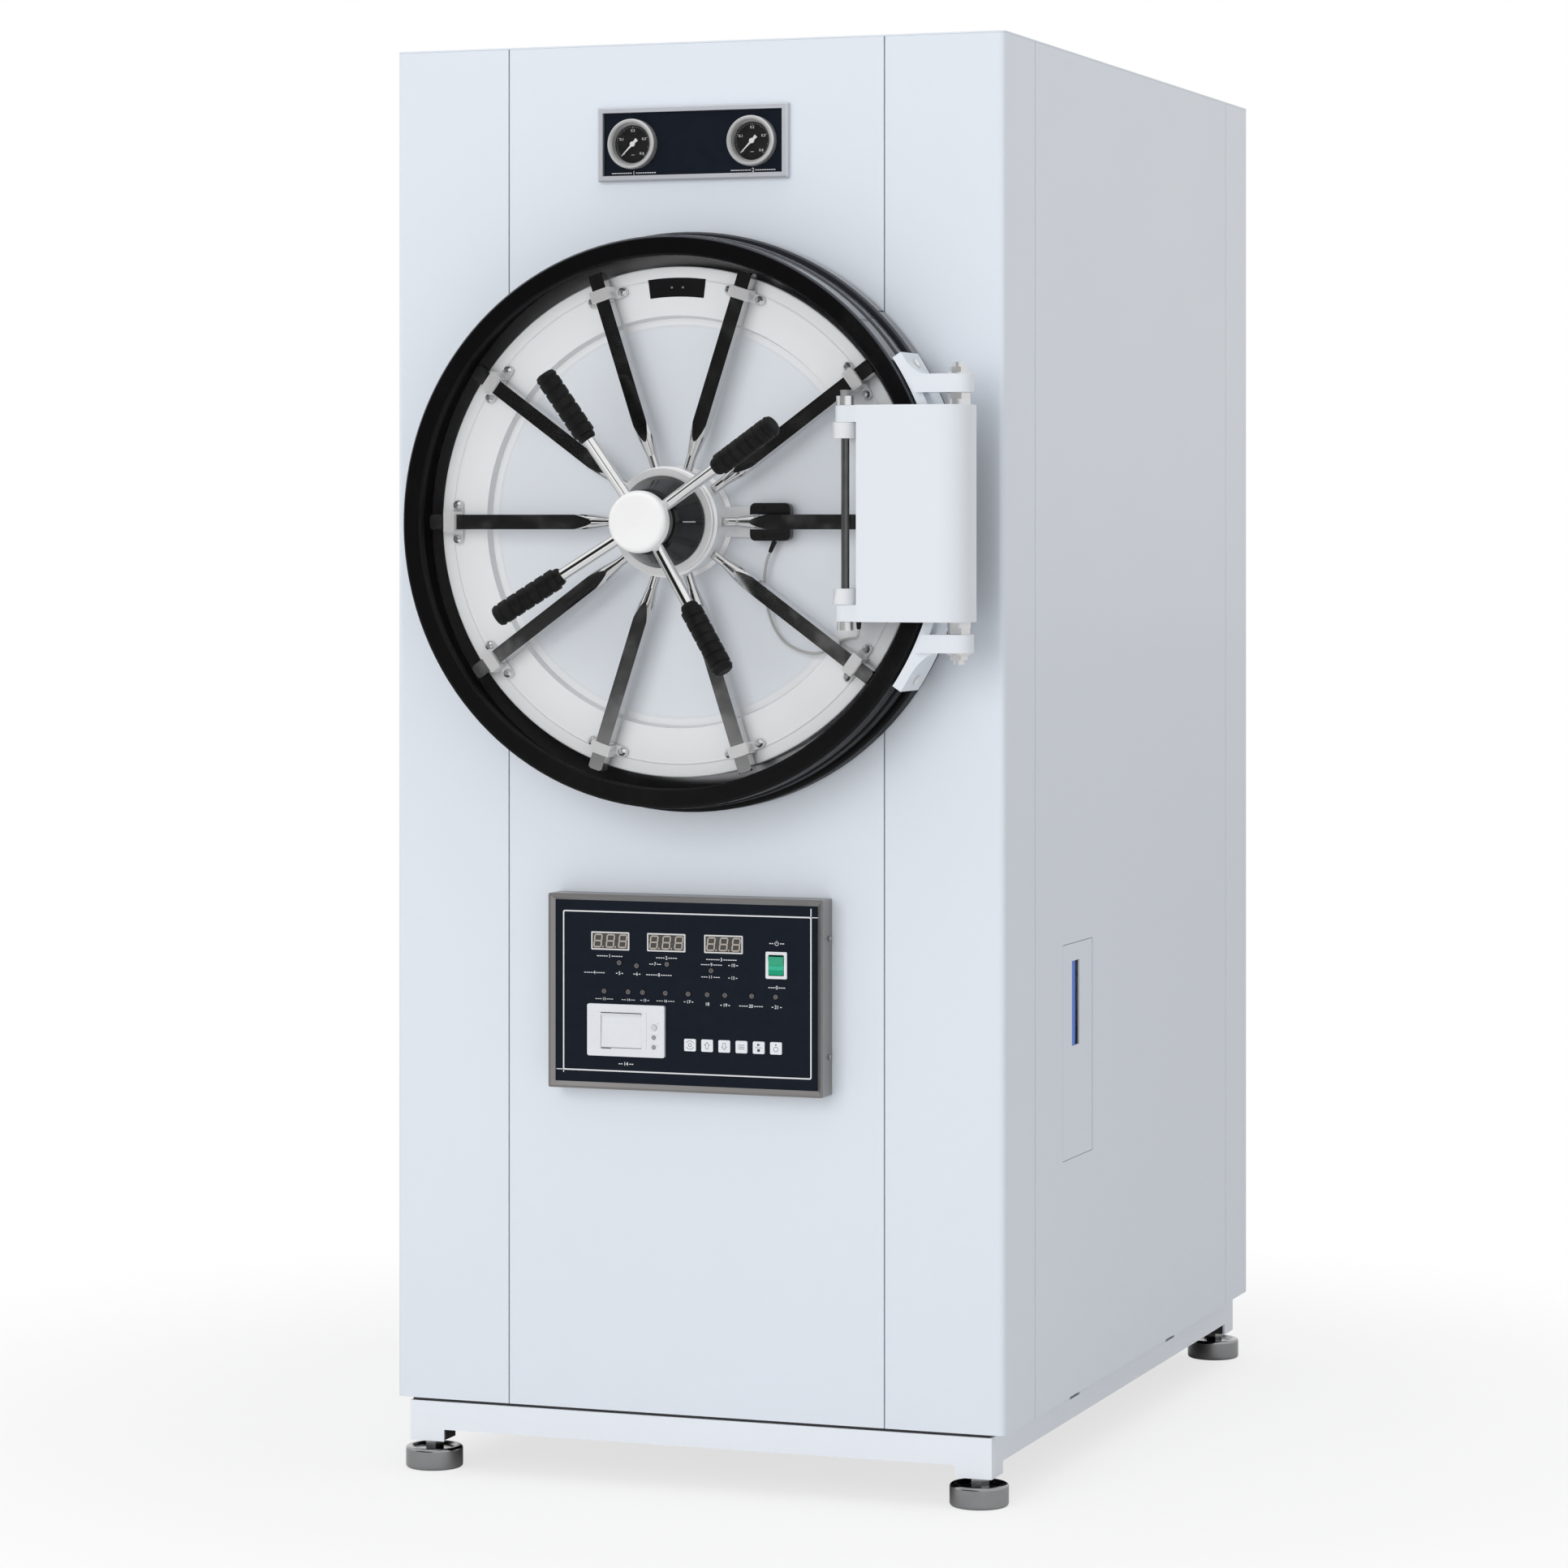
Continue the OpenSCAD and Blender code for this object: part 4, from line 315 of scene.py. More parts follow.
class Finish(NodeMaker):
    """One material built round a Principled shader. Patterns read the piece's own Object coordinates."""

    def __init__(self, name, **constants):
        self.material = bpy.data.materials.new(name)
        self.material.use_nodes = True
        super().__init__(self.material.node_tree)
        self.tree.nodes.clear()
        self.shader = self.tree.nodes.new("ShaderNodeBsdfPrincipled")
        self.output = self.tree.nodes.new("ShaderNodeOutputMaterial")
        self.tree.links.new(self.shader.outputs[0], self.output.inputs["Surface"])
        for socket, value in constants.items():
            self.set(socket.replace("_", " ").title().replace("Ior", "IOR"), value)
        self.place = self.add("ShaderNodeTexCoord", out="Object")

    def set(self, socket, value):
        self.feed(self.shader.inputs[socket], value)
        return self

    def stretched(self, scale):
        return self.add("ShaderNodeMapping", {"vector_type": "POINT"}, {
            "Vector": self.place, "Scale": scale})

    def noise(self, scale, detail=2.0, rough=0.5, place=None):
        return self.add("ShaderNodeTexNoise", None, {
            "Vector": place or self.place, "Scale": scale, "Detail": detail, "Roughness": rough})

    def part(self, axis):
        return self.add("ShaderNodeSeparateXYZ", None, {"Vector": self.place}, out="XYZ".index(axis))

    def round_axis(self):
        """Height about the door's axis, the distance from that axis, and its square."""
        across, up = self.part("X"), self.part("Z") - AXIS_Z
        square = across * across + up * up
        return up, self.maths("SQRT", square), square

    def blend(self, first, second, factor):
        """A colour between two colours, given as RGB or as a signal."""
        ends = [c if isinstance(c, Signal) else (*c, 1) for c in (first, second)]
        return self.add("ShaderNodeMix", {"data_type": "RGBA"}, {0: factor, 6: ends[0], 7: ends[1]}, out=2)

    def relief(self, height, strength, distance, under=None):
        sockets = {"Height": height, "Strength": strength, "Distance": distance}
        if under:
            sockets["Normal"] = under
        bumped = self.add("ShaderNodeBump", None, sockets)
        self.set("Normal", bumped)
        return bumped


def shade(colour, factor):
    return tuple(min(1.0, c * factor) for c in colour[:3])


# Finishes

_finishes = {}


def finish(maker):
    """Keeps one material for each finish and its settings."""

    def kept(*settings):
        key = (maker.__name__, settings)
        if key not in _finishes:
            _finishes[key] = maker(*settings).material
        return _finishes[key]

    return kept


@finish
def powder_coat(name, colour, roughness):
    """Satin powder coat: orange peel, a slow drift of shade, and dust towards the floor."""
    coat = Finish(name, coat_weight=0.12, coat_roughness=0.12)
    drift = coat.noise(1.7, 3)
    dust = (1 - coat.spread(coat.part("Z"), 0.05, 0.55)) * coat.noise(23, 4, 0.6)
    paint = coat.blend(shade(colour, 0.985), shade(colour, 1.01), drift)
    coat.set("Base Color", coat.blend(paint, shade(colour, 0.93), dust * 0.35))
    coat.set("Roughness", roughness - 0.05 + coat.noise(7, 4, 0.6) * 0.08 + dust * 0.1)
    coat.relief(coat.noise(900, 1) + coat.noise(260, 1) * 0.6, 0.10, 0.0002)
    return coat


@finish
def dished_coat(name, colour, roughness):
    """Powder coat of the door: a warmer rim, and a cooler middle with the hollow of a spun dish; the middle
    is also laid darker as painted shade of the hollow.
    """
    coat = Finish(name, coat_weight=0.12, coat_roughness=0.12)
    radius, square = coat.round_axis()[1:]
    rim = coat.spread(radius, DISH_R - 0.006, DISH_R - 0.001)
    drift = coat.noise(1.7, 3)
    # The middle is laid a little darker and cooler than the rim: partly its own cooler tone, partly painted
    # shade of the dish's hollow.
    paint = coat.blend(shade(colour, 0.96), shade(colour, 0.98), drift)
    coat.set("Base Color", coat.blend(paint, (0.80, 0.815, 0.83), rim))
    coat.set("Roughness", roughness - 0.04 + coat.noise(7, 4, 0.6) * 0.08)
    hollow = coat.add("ShaderNodeBump", None, {
        "Height": square * (1 - rim) * DISH_RISE + rim * (DISH_RISE * DISH_R * DISH_R),
        "Strength": 1.0, "Distance": 1.0})
    coat.relief(coat.noise(900, 1) + coat.noise(260, 1) * 0.6, 0.10, 0.0002, hollow)
    return coat


@finish
def black_enamel(name, colour):
    """Thick enamel on the ring: glossy round its upper outside, where a paler blue-grey painted sheen is
    laid into the colour, with slow ripples and dull smears.
    """
    enamel = Finish(name, specular_ior_level=0.12, coat_roughness=0.08)
    up, radius = enamel.round_axis()[:2]
    outside = enamel.spread(radius, RING_R - 0.004, RING_R - 0.0015)
    smear = enamel.spread(enamel.noise(11, 5, 0.65), 0.5, 0.75)
    gloss_and_painted_sheen = outside * enamel.spread(up, -0.12, 0.12)
    enamel.set("Coat Weight", gloss_and_painted_sheen)
    # The upper outside is laid paler blue-grey: a painted sheen in place of the highlights there, only on
    # the upper half.
    enamel.set("Base Color", enamel.blend(
        enamel.blend(colour, shade(colour, 1.7), smear), (0.030, 0.034, 0.046), gloss_and_painted_sheen * 0.8))
    bore = (1 - enamel.spread(radius, RING_R - 0.010, RING_R - 0.007)) * enamel.spread(
        enamel.part("Y"), FRONT_Y - RING_PROUD + 0.001, FRONT_Y - RING_PROUD + 0.003)
    enamel.set("Roughness", 0.16 + smear * 0.14 + enamel.noise(90, 3) * 0.05 + bore * 0.5
               + (outside - gloss_and_painted_sheen) * 0.25)
    enamel.relief(enamel.noise(26, 2) + enamel.noise(420, 1) * 0.06, 0.10, 0.002)
    return enamel


@finish
def polished_metal(name, tone, roughness, metallic=1.0):
    """Polished metal: hairline scratches, smudges and a slow change of tone."""
    metal = Finish(name, metallic=metallic)
    smudge = metal.spread(metal.noise(30, 2, 0.5), 0.42, 0.78)
    hair = metal.noise(1.0, 2, 0.6, metal.stretched((900, 2600, 900)))
    metal.set("Base Color", metal.blend(
        (tone, tone, tone * 1.01), (tone * 0.96, tone * 0.96, tone * 0.96), smudge))
    metal.set("Roughness", roughness + smudge * 0.07 + hair * 0.04)
    metal.relief(hair, 0.012, 0.00005)
    return metal


@finish
def rod_metal(name):
    """Dark oiled rod between bright washers and nuts."""
    metal = Finish(name, metallic=0.8)
    reach = metal.maths("ABSOLUTE", metal.part("Z") - (AXIS_Z + PIVOT_RISE))
    nut = metal.maths("GREATER_THAN", reach, PIVOT_NUT_REACH)
    film = metal.noise(60, 3)
    rod = metal.blend((0.14, 0.14, 0.14), (0.20, 0.20, 0.20), film)
    metal.set("Base Color", metal.blend(rod, (0.86, 0.86, 0.87), nut))
    metal.set("Roughness", 0.20 + film * 0.08)
    metal.relief(metal.noise(800, 2), 0.05, 0.0001)
    return metal


@finish
def handwheel_metal(name, tone):
    """Chromed rods, and a satin turned cap that the hand rests on; the steel cap is laid near-white and
    mostly non-metallic, a painted sheen in place of its bright reflection.
    """
    metal = Finish(name)
    radius = metal.round_axis()[1]
    cap = metal.maths("LESS_THAN", radius, CAP_R) * metal.maths(
        "LESS_THAN", metal.part("Y"), FRONT_Y - CAP_PROUD)
    smudge = metal.spread(metal.noise(45, 5, 0.62), 0.45, 0.8)
    turned = metal.maths("SINE", radius * 9000)
    rod = metal.blend((tone, tone, tone), (tone * 0.88, tone * 0.88, tone * 0.9), smudge)
    # The cap's near-white, mostly non-metallic face is a painted sheen standing in for the bright
    # reflection of the steel cap.
    metal.set("Base Color", metal.blend(rod, (0.93, 0.93, 0.935), cap))
    metal.set("Roughness", 0.06 + smudge * 0.06 + cap * (0.26 + turned * 0.02))
    metal.set("Metallic", 1 - cap * 0.85)
    metal.relief(turned * cap, 0.03, 0.0001)
    return metal


@finish
def brushed_metal(name, tone, roughness, along, metallic=1.0):
    """Brushed sheet: fine lines along one direction, with blotches of tone."""
    metal = Finish(name, metallic=metallic)
    scale = tuple(14 if axis == along else 1900 for axis in "XYZ")
    lines = metal.noise(1.0, 3, 0.7, metal.stretched(scale))
    blotch = metal.noise(12, 4, 0.6)
    tones = [tuple(t * k for t in tone) for k in (0.86, 1.06)]
    metal.set("Base Color", metal.blend(tones[0], tones[1], lines * 0.7 + blotch * 0.3))
    metal.set("Roughness", roughness - 0.06 + lines * 0.1 + blotch * 0.06)
    metal.relief(lines, 0.12, 0.0002)
    return metal


@finish
def screened_plate(name, colour):
    """Screen-printed panel: deep ink under a satin film, with a faint mottle."""
    ink = Finish(name, specular_ior_level=0.12)
    mottle = ink.noise(55, 5, 0.6)
    ink.set("Base Color", ink.blend(shade(colour, 0.85), shade(colour, 1.35), mottle))
    ink.set("Roughness", 0.34 + mottle * 0.1)
    ink.relief(ink.noise(1500, 1), 0.08, 0.0001)
    return ink


@finish
def moulded_plastic(name, colour, roughness, grain, gloss=0.5):
    """Moulded plastic: spark-eroded grain and a slight uneven sheen."""
    plastic = Finish(name, specular_ior_level=gloss)
    sheen = plastic.noise(30, 4, 0.6)
    plastic.set("Base Color", plastic.blend(shade(colour, 0.95), shade(colour, 1.04), sheen))
    plastic.set("Roughness", roughness - 0.05 + sheen * 0.12)
    plastic.relief(plastic.noise(1400, 2, 0.6), grain, 0.0002)
    return plastic


def printer_moulding():
    return moulded_plastic("printer_moulding", (0.76, 0.78, 0.82), 0.42, 0.10)


@finish
def rubber(name, colour, roughness):
    """Rubber: matt skin with fine pits and a greyish bloom."""
    skin = Finish(name, specular_ior_level=0.14)
    bloom = skin.spread(skin.noise(60, 5, 0.65), 0.4, 0.8)
    skin.set("Base Color", skin.blend(colour, shade(colour, 2.2), bloom))
    skin.set("Roughness", roughness + bloom * 0.12)
    skin.relief(skin.noise(1100, 3, 0.6), 0.25, 0.0003)
    return skin


@finish
def clear_glass(name):
    """Gauge glass: clear, with its gloss from the Fresnel angle and a trace of dust."""
    glass = Finish(name, roughness=0.02, coat_weight=1.0, coat_roughness=0.01)
    facing = glass.add("ShaderNodeFresnel", None, {"IOR": 1.5})
    dust = glass.spread(glass.noise(160, 4, 0.7), 0.6, 0.85)
    glass.set("Base Color", glass.blend((0.02, 0.021, 0.022), (0.5, 0.5, 0.5), dust))
    glass.set("Alpha", 0.004 + facing * 0.18 + dust * 0.008)
    return glass


@finish
def wool_foil(name):
    """Aluminium foil over mineral wool: creases, laid darker along their lines as painted shade, and a dull
    shine.
    """
    foil = Finish(name, metallic=1.0)
    crease = foil.add("ShaderNodeTexVoronoi", {"feature": "DISTANCE_TO_EDGE"}, {
        "Vector": foil.place, "Scale": 38.0})
    fold_and_crease_shade = foil.spread(crease, 0.0, 0.12)
    # Darker along the crease lines: painted shade in the creases; the same mask also raises the folds in
    # the bump.
    foil.set("Base Color", foil.blend((0.55, 0.55, 0.56), (0.78, 0.78, 0.8), fold_and_crease_shade))
    foil.set("Roughness", 0.32 + foil.noise(50, 4) * 0.2)
    foil.relief(fold_and_crease_shade + foil.noise(70, 4) * 0.6, 0.5, 0.002)
    return foil


@finish
def rocker_green(name, colour):
    """Translucent green rocker with a painted highlight: a paler band across its lower half."""
    green = Finish(name, coat_weight=0.7, coat_roughness=0.06)
    up = green.part("Z") - (CONTROL_Z + ROCKER_AT[1] / 1000)
    # The paler band across the lower half is a painted highlight.
    highlight_band = green.spread(up, -0.0062, -0.0050) * (1 - green.spread(up, -0.0014, -0.0004))
    cloud = green.noise(120, 3)
    body = green.blend(shade(colour, 0.85), shade(colour, 1.1), cloud)
    green.set("Base Color", green.blend(body, (0.05, 0.55, 0.36), highlight_band * 0.7))
    green.set("Roughness", 0.22 + cloud * 0.08)
    return green


@finish
def printed_white(name, colour):
    """Screen ink: slightly uneven cover and a matt face."""
    ink = Finish(name)
    cover = ink.noise(420, 3, 0.6)
    ink.set("Base Color", ink.blend(shade(colour, 0.86), colour, cover))
    ink.set("Roughness", 0.5 + cover * 0.12)
    return ink


@finish
def lamp_lens(name, colour):
    """Unlit lamp: a smoky dome with a cloudy tone."""
    lens = Finish(name, specular_ior_level=0.3, coat_weight=0.2, coat_roughness=0.15)
    cloud = lens.noise(600, 2)
    lens.set("Base Color", lens.blend(shade(colour, 0.7), shade(colour, 1.25), cloud))
    lens.set("Roughness", 0.3 + cloud * 0.1)
    return lens


@finish
def display_window(name):
    """Smoked window over the digits."""
    window = Finish(name, coat_weight=1.0, coat_roughness=0.03)
    tint = window.noise(140, 2)
    window.set("Base Color", window.blend((0.004, 0.004, 0.005), (0.010, 0.009, 0.010), tint))
    window.set("Roughness", 0.2 + tint * 0.08)
    return window


# Piece making


def front_plane(height, forward, x=0.0):
    """Turns millimetres on a plane that faces the front into metres in the frame."""
    return Matrix((
        (0.001, 0, 0, x),
        (0, 0, -0.001, FRONT_Y - forward / 1000),
        (0, 0.001, 0, height),
        (0, 0, 0, 1)))


def linked(name, data):
    """A new object of the data, in the scene."""
    thing = bpy.data.objects.new(name, data)
    bpy.context.scene.collection.objects.link(thing)
    return thing


def as_mesh(name, shape):
    """Turns a bmesh into a mesh, and frees it."""
    mesh = bpy.data.meshes.new(name)
    shape.to_mesh(mesh)
    shape.free()
    return mesh


def evaluated_mesh(holder):
    """The plain mesh of a text or of an object with live modifiers."""
    bpy.context.view_layer.update()
    return bpy.data.meshes.new_from_object(
        holder.evaluated_get(bpy.context.evaluated_depsgraph_get()))


def put(name, mesh, material, body, smooth=None):
    """Links a finished mesh with its finish, and says which body it rides on."""
    if isinstance(mesh, bmesh.types.BMesh):
        mesh = as_mesh(name, mesh)
    if smooth is not None:
        mesh.shade_smooth()
        mesh.set_sharp_from_angle(angle=math.radians(smooth))
    mesh.materials.clear()
    mesh.materials.append(material)
    mesh.polygons.foreach_set("material_index", [0] * len(mesh.polygons))
    piece = linked(name, mesh)
    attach(piece, body)
    return piece


def soften(piece, width):
    """Rounds the sharp edges of a piece."""
    edge = piece.modifiers.new("edge", "BEVEL")
    edge.width, edge.segments, edge.limit_method = width, 2, "ANGLE"


def circle(radius, x=0.0, y=0.0, steps=40):
    return [(x + radius * math.cos(i * math.tau / steps), y + radius * math.sin(i * math.tau / steps))
            for i in range(steps)]


def rounded(width, height, corner, x=0.0, y=0.0, steps=5):
    """Rectangle with round corners, counter-clockwise seen from the front."""
    points = []
    for k, (sx, sy) in enumerate(((1, 1), (-1, 1), (-1, -1), (1, -1))):
        for i in range(steps + 1):
            a = math.radians(90 * k + 90 * i / steps)
            points.append((x + sx * (width / 2 - corner) + corner * math.cos(a),
                           y + sy * (height / 2 - corner) + corner * math.sin(a)))
    return points


def turned(profile, steps=48):
    """Revolves an outline of radius and height about Z, from the bottom pole to the top pole."""
    shape = bmesh.new()
    rows = []
    for radius, height in profile:
        if radius < 1e-6:
            rows.append([shape.verts.new((0, 0, height))])
        else:
            rows.append([shape.verts.new((x, y, height)) for x, y in circle(radius, steps=steps)])
    for low, high in zip(rows, rows[1:]):
        for i in range(steps):
            j = (i + 1) % steps
            corners = [low[i % len(low)], low[j % len(low)], high[j % len(high)], high[i % len(high)]]
            face = list(dict.fromkeys(corners))
            if len(face) > 2:
                shape.faces.new(face)
    return shape


class Marks:
    """Flat marks in millimetres on a plane that faces the front."""

    def __init__(self, thickness=0.06):
        self.shape = bmesh.new()
        self.thickness = thickness

    def _loop(self, points, lift):
        return [self.shape.verts.new((x, y, lift)) for x, y in points]

    def outline(self, points, lift=0.0, thickness=None):
        low, high = self._loop(points, lift), self._loop(points, lift + (thickness or self.thickness))
        self.shape.faces.new(list(reversed(low)))
        self.shape.faces.new(high)
        for i in range(len(low)):
            j = (i + 1) % len(low)
            self.shape.faces.new((low[i], low[j], high[j], high[i]))

    def frame(self, outer, inner, lift=0.0, thickness=None):
        top = lift + (thickness or self.thickness)
        ol, oh, il, ih = (self._loop(outer, lift), self._loop(outer, top),
                          self._loop(inner, lift), self._loop(inner, top))
        for i in range(len(outer)):
            j = (i + 1) % len(outer)
            for face in ((oh[i], oh[j], ih[j], ih[i]), (il[i], il[j], ol[j], ol[i]),
                         (ol[i], ol[j], oh[j], oh[i]), (ih[i], ih[j], il[j], il[i])):
                self.shape.faces.new(face)

    def bar(self, x, y, width, height, turn=0.0):
        c, s = math.cos(turn), math.sin(turn)
        self.outline([(x + c * u - s * v, y + s * u + c * v) for u, v in (
            (-width / 2, -height / 2), (width / 2, -height / 2), (width / 2, height / 2),
            (-width / 2, height / 2))])

    def ring(self, x, y, outer, inner, steps=40):
        self.frame(circle(outer, x, y, steps), circle(inner, x, y, steps))

    def sector(self, x, y, outer, inner, start, end, steps=16):
        angles = [math.radians(start + (end - start) * i / steps) for i in range(steps + 1)]
        self.outline([(x + outer * math.cos(a), y + outer * math.sin(a)) for a in angles]
                     + [(x + inner * math.cos(a), y + inner * math.sin(a)) for a in reversed(angles)])

    def figures(self, text, x, y, size):
        """Plain figures, such as the numbers on a dial."""
        curve = bpy.data.curves.new("figures", "FONT")
        curve.body, curve.size, curve.extrude = text, size * 1.37, self.thickness / 2
        curve.align_x, curve.align_y, curve.offset = "CENTER", "CENTER", size * 0.014
        curve.resolution_u = 3
        holder = linked("figures", curve)
        mesh = evaluated_mesh(holder)
        mesh.transform(Matrix.Translation((x, y, self.thickness / 2)))
        self.shape.from_mesh(mesh)
        for block, kind in ((holder, bpy.data.objects), (curve, bpy.data.curves), (mesh, bpy.data.meshes)):
            kind.remove(block)

    def dashes(self, x, y, width, size, start, dash=2.2, pitch=3.0):
        """A row of short dashes on each side, from the start out to half the width."""
        for i in range(int((width / 2 - start + round(pitch - dash, 6)) / pitch)):
            for side in (-1, 1):
                self.bar(x + side * (start + dash / 2 + pitch * i), y, dash, size * 0.24)

    def label(self, text, x, y, width, size):
        """A plain number between dashes."""
        self.figures(text, x, y, size)
        self.dashes(x, y, width, size, size * 0.4 * len(text) + 0.8)

    def done(self, name, place, material, body, slot):
        bmesh.ops.transform(self.shape, matrix=place, verts=self.shape.verts)
        return put(name, self.shape, material, body)


def seven_segments(marks, x, y, width, height, line, lean):
    """The seven bars of one display digit: clockwise from the top one, and then the middle one."""
    right, top = width / 2, height / 2
    for u, v, upright in (
            (0, top, 0), (right, top / 2, 1), (right, -top / 2, 1), (0, -top, 0),
            (-right, -top / 2, 1), (-right, top / 2, 1), (0, 0, 0)):
        length = (height / 2 if upright else width) - line * 0.12
        tip = line / 2
        shape = [(-length / 2, 0), (-length / 2 + tip, -tip), (length / 2 - tip, -tip),
                 (length / 2, 0), (length / 2 - tip, tip), (-length / 2 + tip, tip)]
        if upright:
            shape = [(-b, a) for a, b in shape]
        marks.outline([(x + u + a + (v + b) * lean, y + v + b) for a, b in shape])


class Growth(NodeMaker):
    """A geometry node tree with named inputs, made into a plain mesh at the end."""

    def __init__(self, name, **inputs):
        tree = bpy.data.node_groups.new(name, "GeometryNodeTree")
        super().__init__(tree)
        kinds = {int: "NodeSocketInt", float: "NodeSocketFloat"}
        tree.interface.new_socket(name="Geometry", in_out="INPUT", socket_type="NodeSocketGeometry")
        self.values = {}
        for label, value in inputs.items():
            socket = tree.interface.new_socket(
                name=label.replace("_", " ").capitalize(), in_out="INPUT", socket_type=kinds[type(value)])
            self.values[socket.identifier] = value
        tree.interface.new_socket(name="Geometry", in_out="OUTPUT", socket_type="NodeSocketGeometry")
        self.source = tree.nodes.new("NodeGroupInput")

    def input(self, index):
        return Signal(self, self.source.outputs[index])

    def instances(self, points, shape, rotation=(0, 0, 0)):
        return self.add("GeometryNodeInstanceOnPoints", None, {
            "Points": points, "Instance": shape, "Rotation": rotation})

    def result(self, geometry, material, points=()):
        """Ends the tree in Realize Instances and Set Material, and returns the plain mesh."""
        real = self.add("GeometryNodeRealizeInstances", None, {"Geometry": geometry})
        painted = self.add("GeometryNodeSetMaterial", None, {"Geometry": real, "Material": material})
        end = self.tree.nodes.new("NodeGroupOutput")
        self.feed(end.inputs[0], painted)
        base = bpy.data.meshes.new(self.tree.name)
        base.from_pydata([tuple(p) for p in points], [], [])
        holder = linked(self.tree.name, base)
        modifier = holder.modifiers.new("growth", "NODES")
        modifier.node_group = self.tree
        for identifier, value in self.values.items():
            modifier[identifier] = value
        mesh = evaluated_mesh(holder)
        bpy.data.objects.remove(holder)
        bpy.data.meshes.remove(base)
        return mesh

    def on_points(self, shape, material, points):
        """Puts the shape on each of the points."""
        spots = self.add("GeometryNodeMeshToPoints", None, {"Mesh": self.input(0)})
        return self.result(self.instances(spots, shape), material, points)

    def squashed_ball(self, segments, rings):
        """A ball with the tree's first input as its radius, and the second as its height."""
        ball = self.add("GeometryNodeMeshUVSphere", None, {
            "Segments": segments, "Rings": rings, "Radius": 1.0})
        return self.add("GeometryNodeTransform", None, {
            "Geometry": ball, "Scale": self.vector(self.input(1), self.input(1), self.input(2))})


def tick_ring(name, material, ticks, sweep, radius, length, width):
    """Ticks round a dial, from its lower left end to its lower right one."""
    grow = Growth(name, ticks=ticks, sweep=sweep, radius=radius, length=length, width=width)
    count, span, reach, long, wide = (grow.input(i) for i in range(1, 6))
    turn = (math.pi + span) / 2 - span * grow.add("GeometryNodeInputIndex") / count
    half = reach - long / 2
    spot = grow.vector(grow.maths("COSINE", turn) * half, grow.maths("SINE", turn) * half)
    points = grow.add("GeometryNodePoints", None, {"Count": count + 1, "Position": spot})
    tick = grow.add("GeometryNodeMeshCube", None, {"Size": grow.vector(long, wide, 0.06)})
    return grow.result(grow.instances(points, tick, grow.vector(z=turn)), material)


def lathe_rings(name, material, points, radius, bead):
    """A round bead bent into a ring, once on each point."""
    grow = Growth(name, radius=radius, bead=bead)
    path = grow.add("GeometryNodeCurvePrimitiveCircle", {"mode": "RADIUS"}, {
        "Resolution": 32, "Radius": grow.input(1) - grow.input(2)})
    section = grow.add("GeometryNodeCurvePrimitiveCircle", {"mode": "RADIUS"}, {
        "Resolution": 10, "Radius": grow.input(2)})
    ring = grow.add("GeometryNodeCurveToMesh", None, {"Curve": path, "Profile Curve": section})
    smooth = grow.add("GeometryNodeSetShadeSmooth", None, {"Geometry": ring})
    return grow.on_points(smooth, material, points)


def domes(name, material, points, radius, height):
    """A flattened dome on each point."""
    grow = Growth(name, radius=radius, height=height)
    smooth = grow.add("GeometryNodeSetShadeSmooth", None, {"Geometry": grow.squashed_ball(24, 12)})
    return grow.on_points(smooth, material, points)


def cross_heads(name, material, points, radius, height):
    """Pan-headed screws with a cross recess, once on each point."""
    grow = Growth(name, radius=radius, height=height)
    wide, tall = grow.input(1), grow.input(2)
    head = grow.squashed_ball(20, 10)
    for across, along in ((1.1, 0.26), (0.26, 1.1)):
        slot = grow.add("GeometryNodeMeshCube", None, {
            "Size": grow.vector(wide * across, wide * along, tall)})
        deep = grow.add("GeometryNodeTransform", None, {
            "Geometry": slot, "Translation": grow.vector(z=tall)})
        head = grow.add("GeometryNodeMeshBoolean", {"operation": "DIFFERENCE", "solver": "EXACT"}, {
            "Mesh 1": head, "Mesh 2": deep})
    return grow.on_points(head, material, points)


# Operators: one for each piece or group of like pieces


class Piece(bpy.types.Operator):
    """Shared base of the piece operators."""

    bl_options = {"INTERNAL"}

    def execute(self, context):
        scene = context.scene
        self.make(scene.autoclave_colours, scene.autoclave_dials, scene.autoclave_print,
                  scene.autoclave_studio)
        return {"FINISHED"}


class AUTOCLAVE_OT_camera(Piece):
    """Set the camera where the photograph was taken from"""

    bl_idname = "autoclave.camera"
    bl_label = "Camera"

    def make(self, colours, dials, marks, studio):
        eye = linked("studio_camera", bpy.data.cameras.new("studio_camera"))
        eye.location = studio.camera
        eye.rotation_euler = (math.pi / 2, 0, studio.turn)
        eye.data.lens, eye.data.sensor_width = studio.lens, 36
        eye.data.shift_y = studio.shift
        eye.data.clip_start, eye.data.clip_end = 0.1, 200
        bpy.context.scene.camera = eye


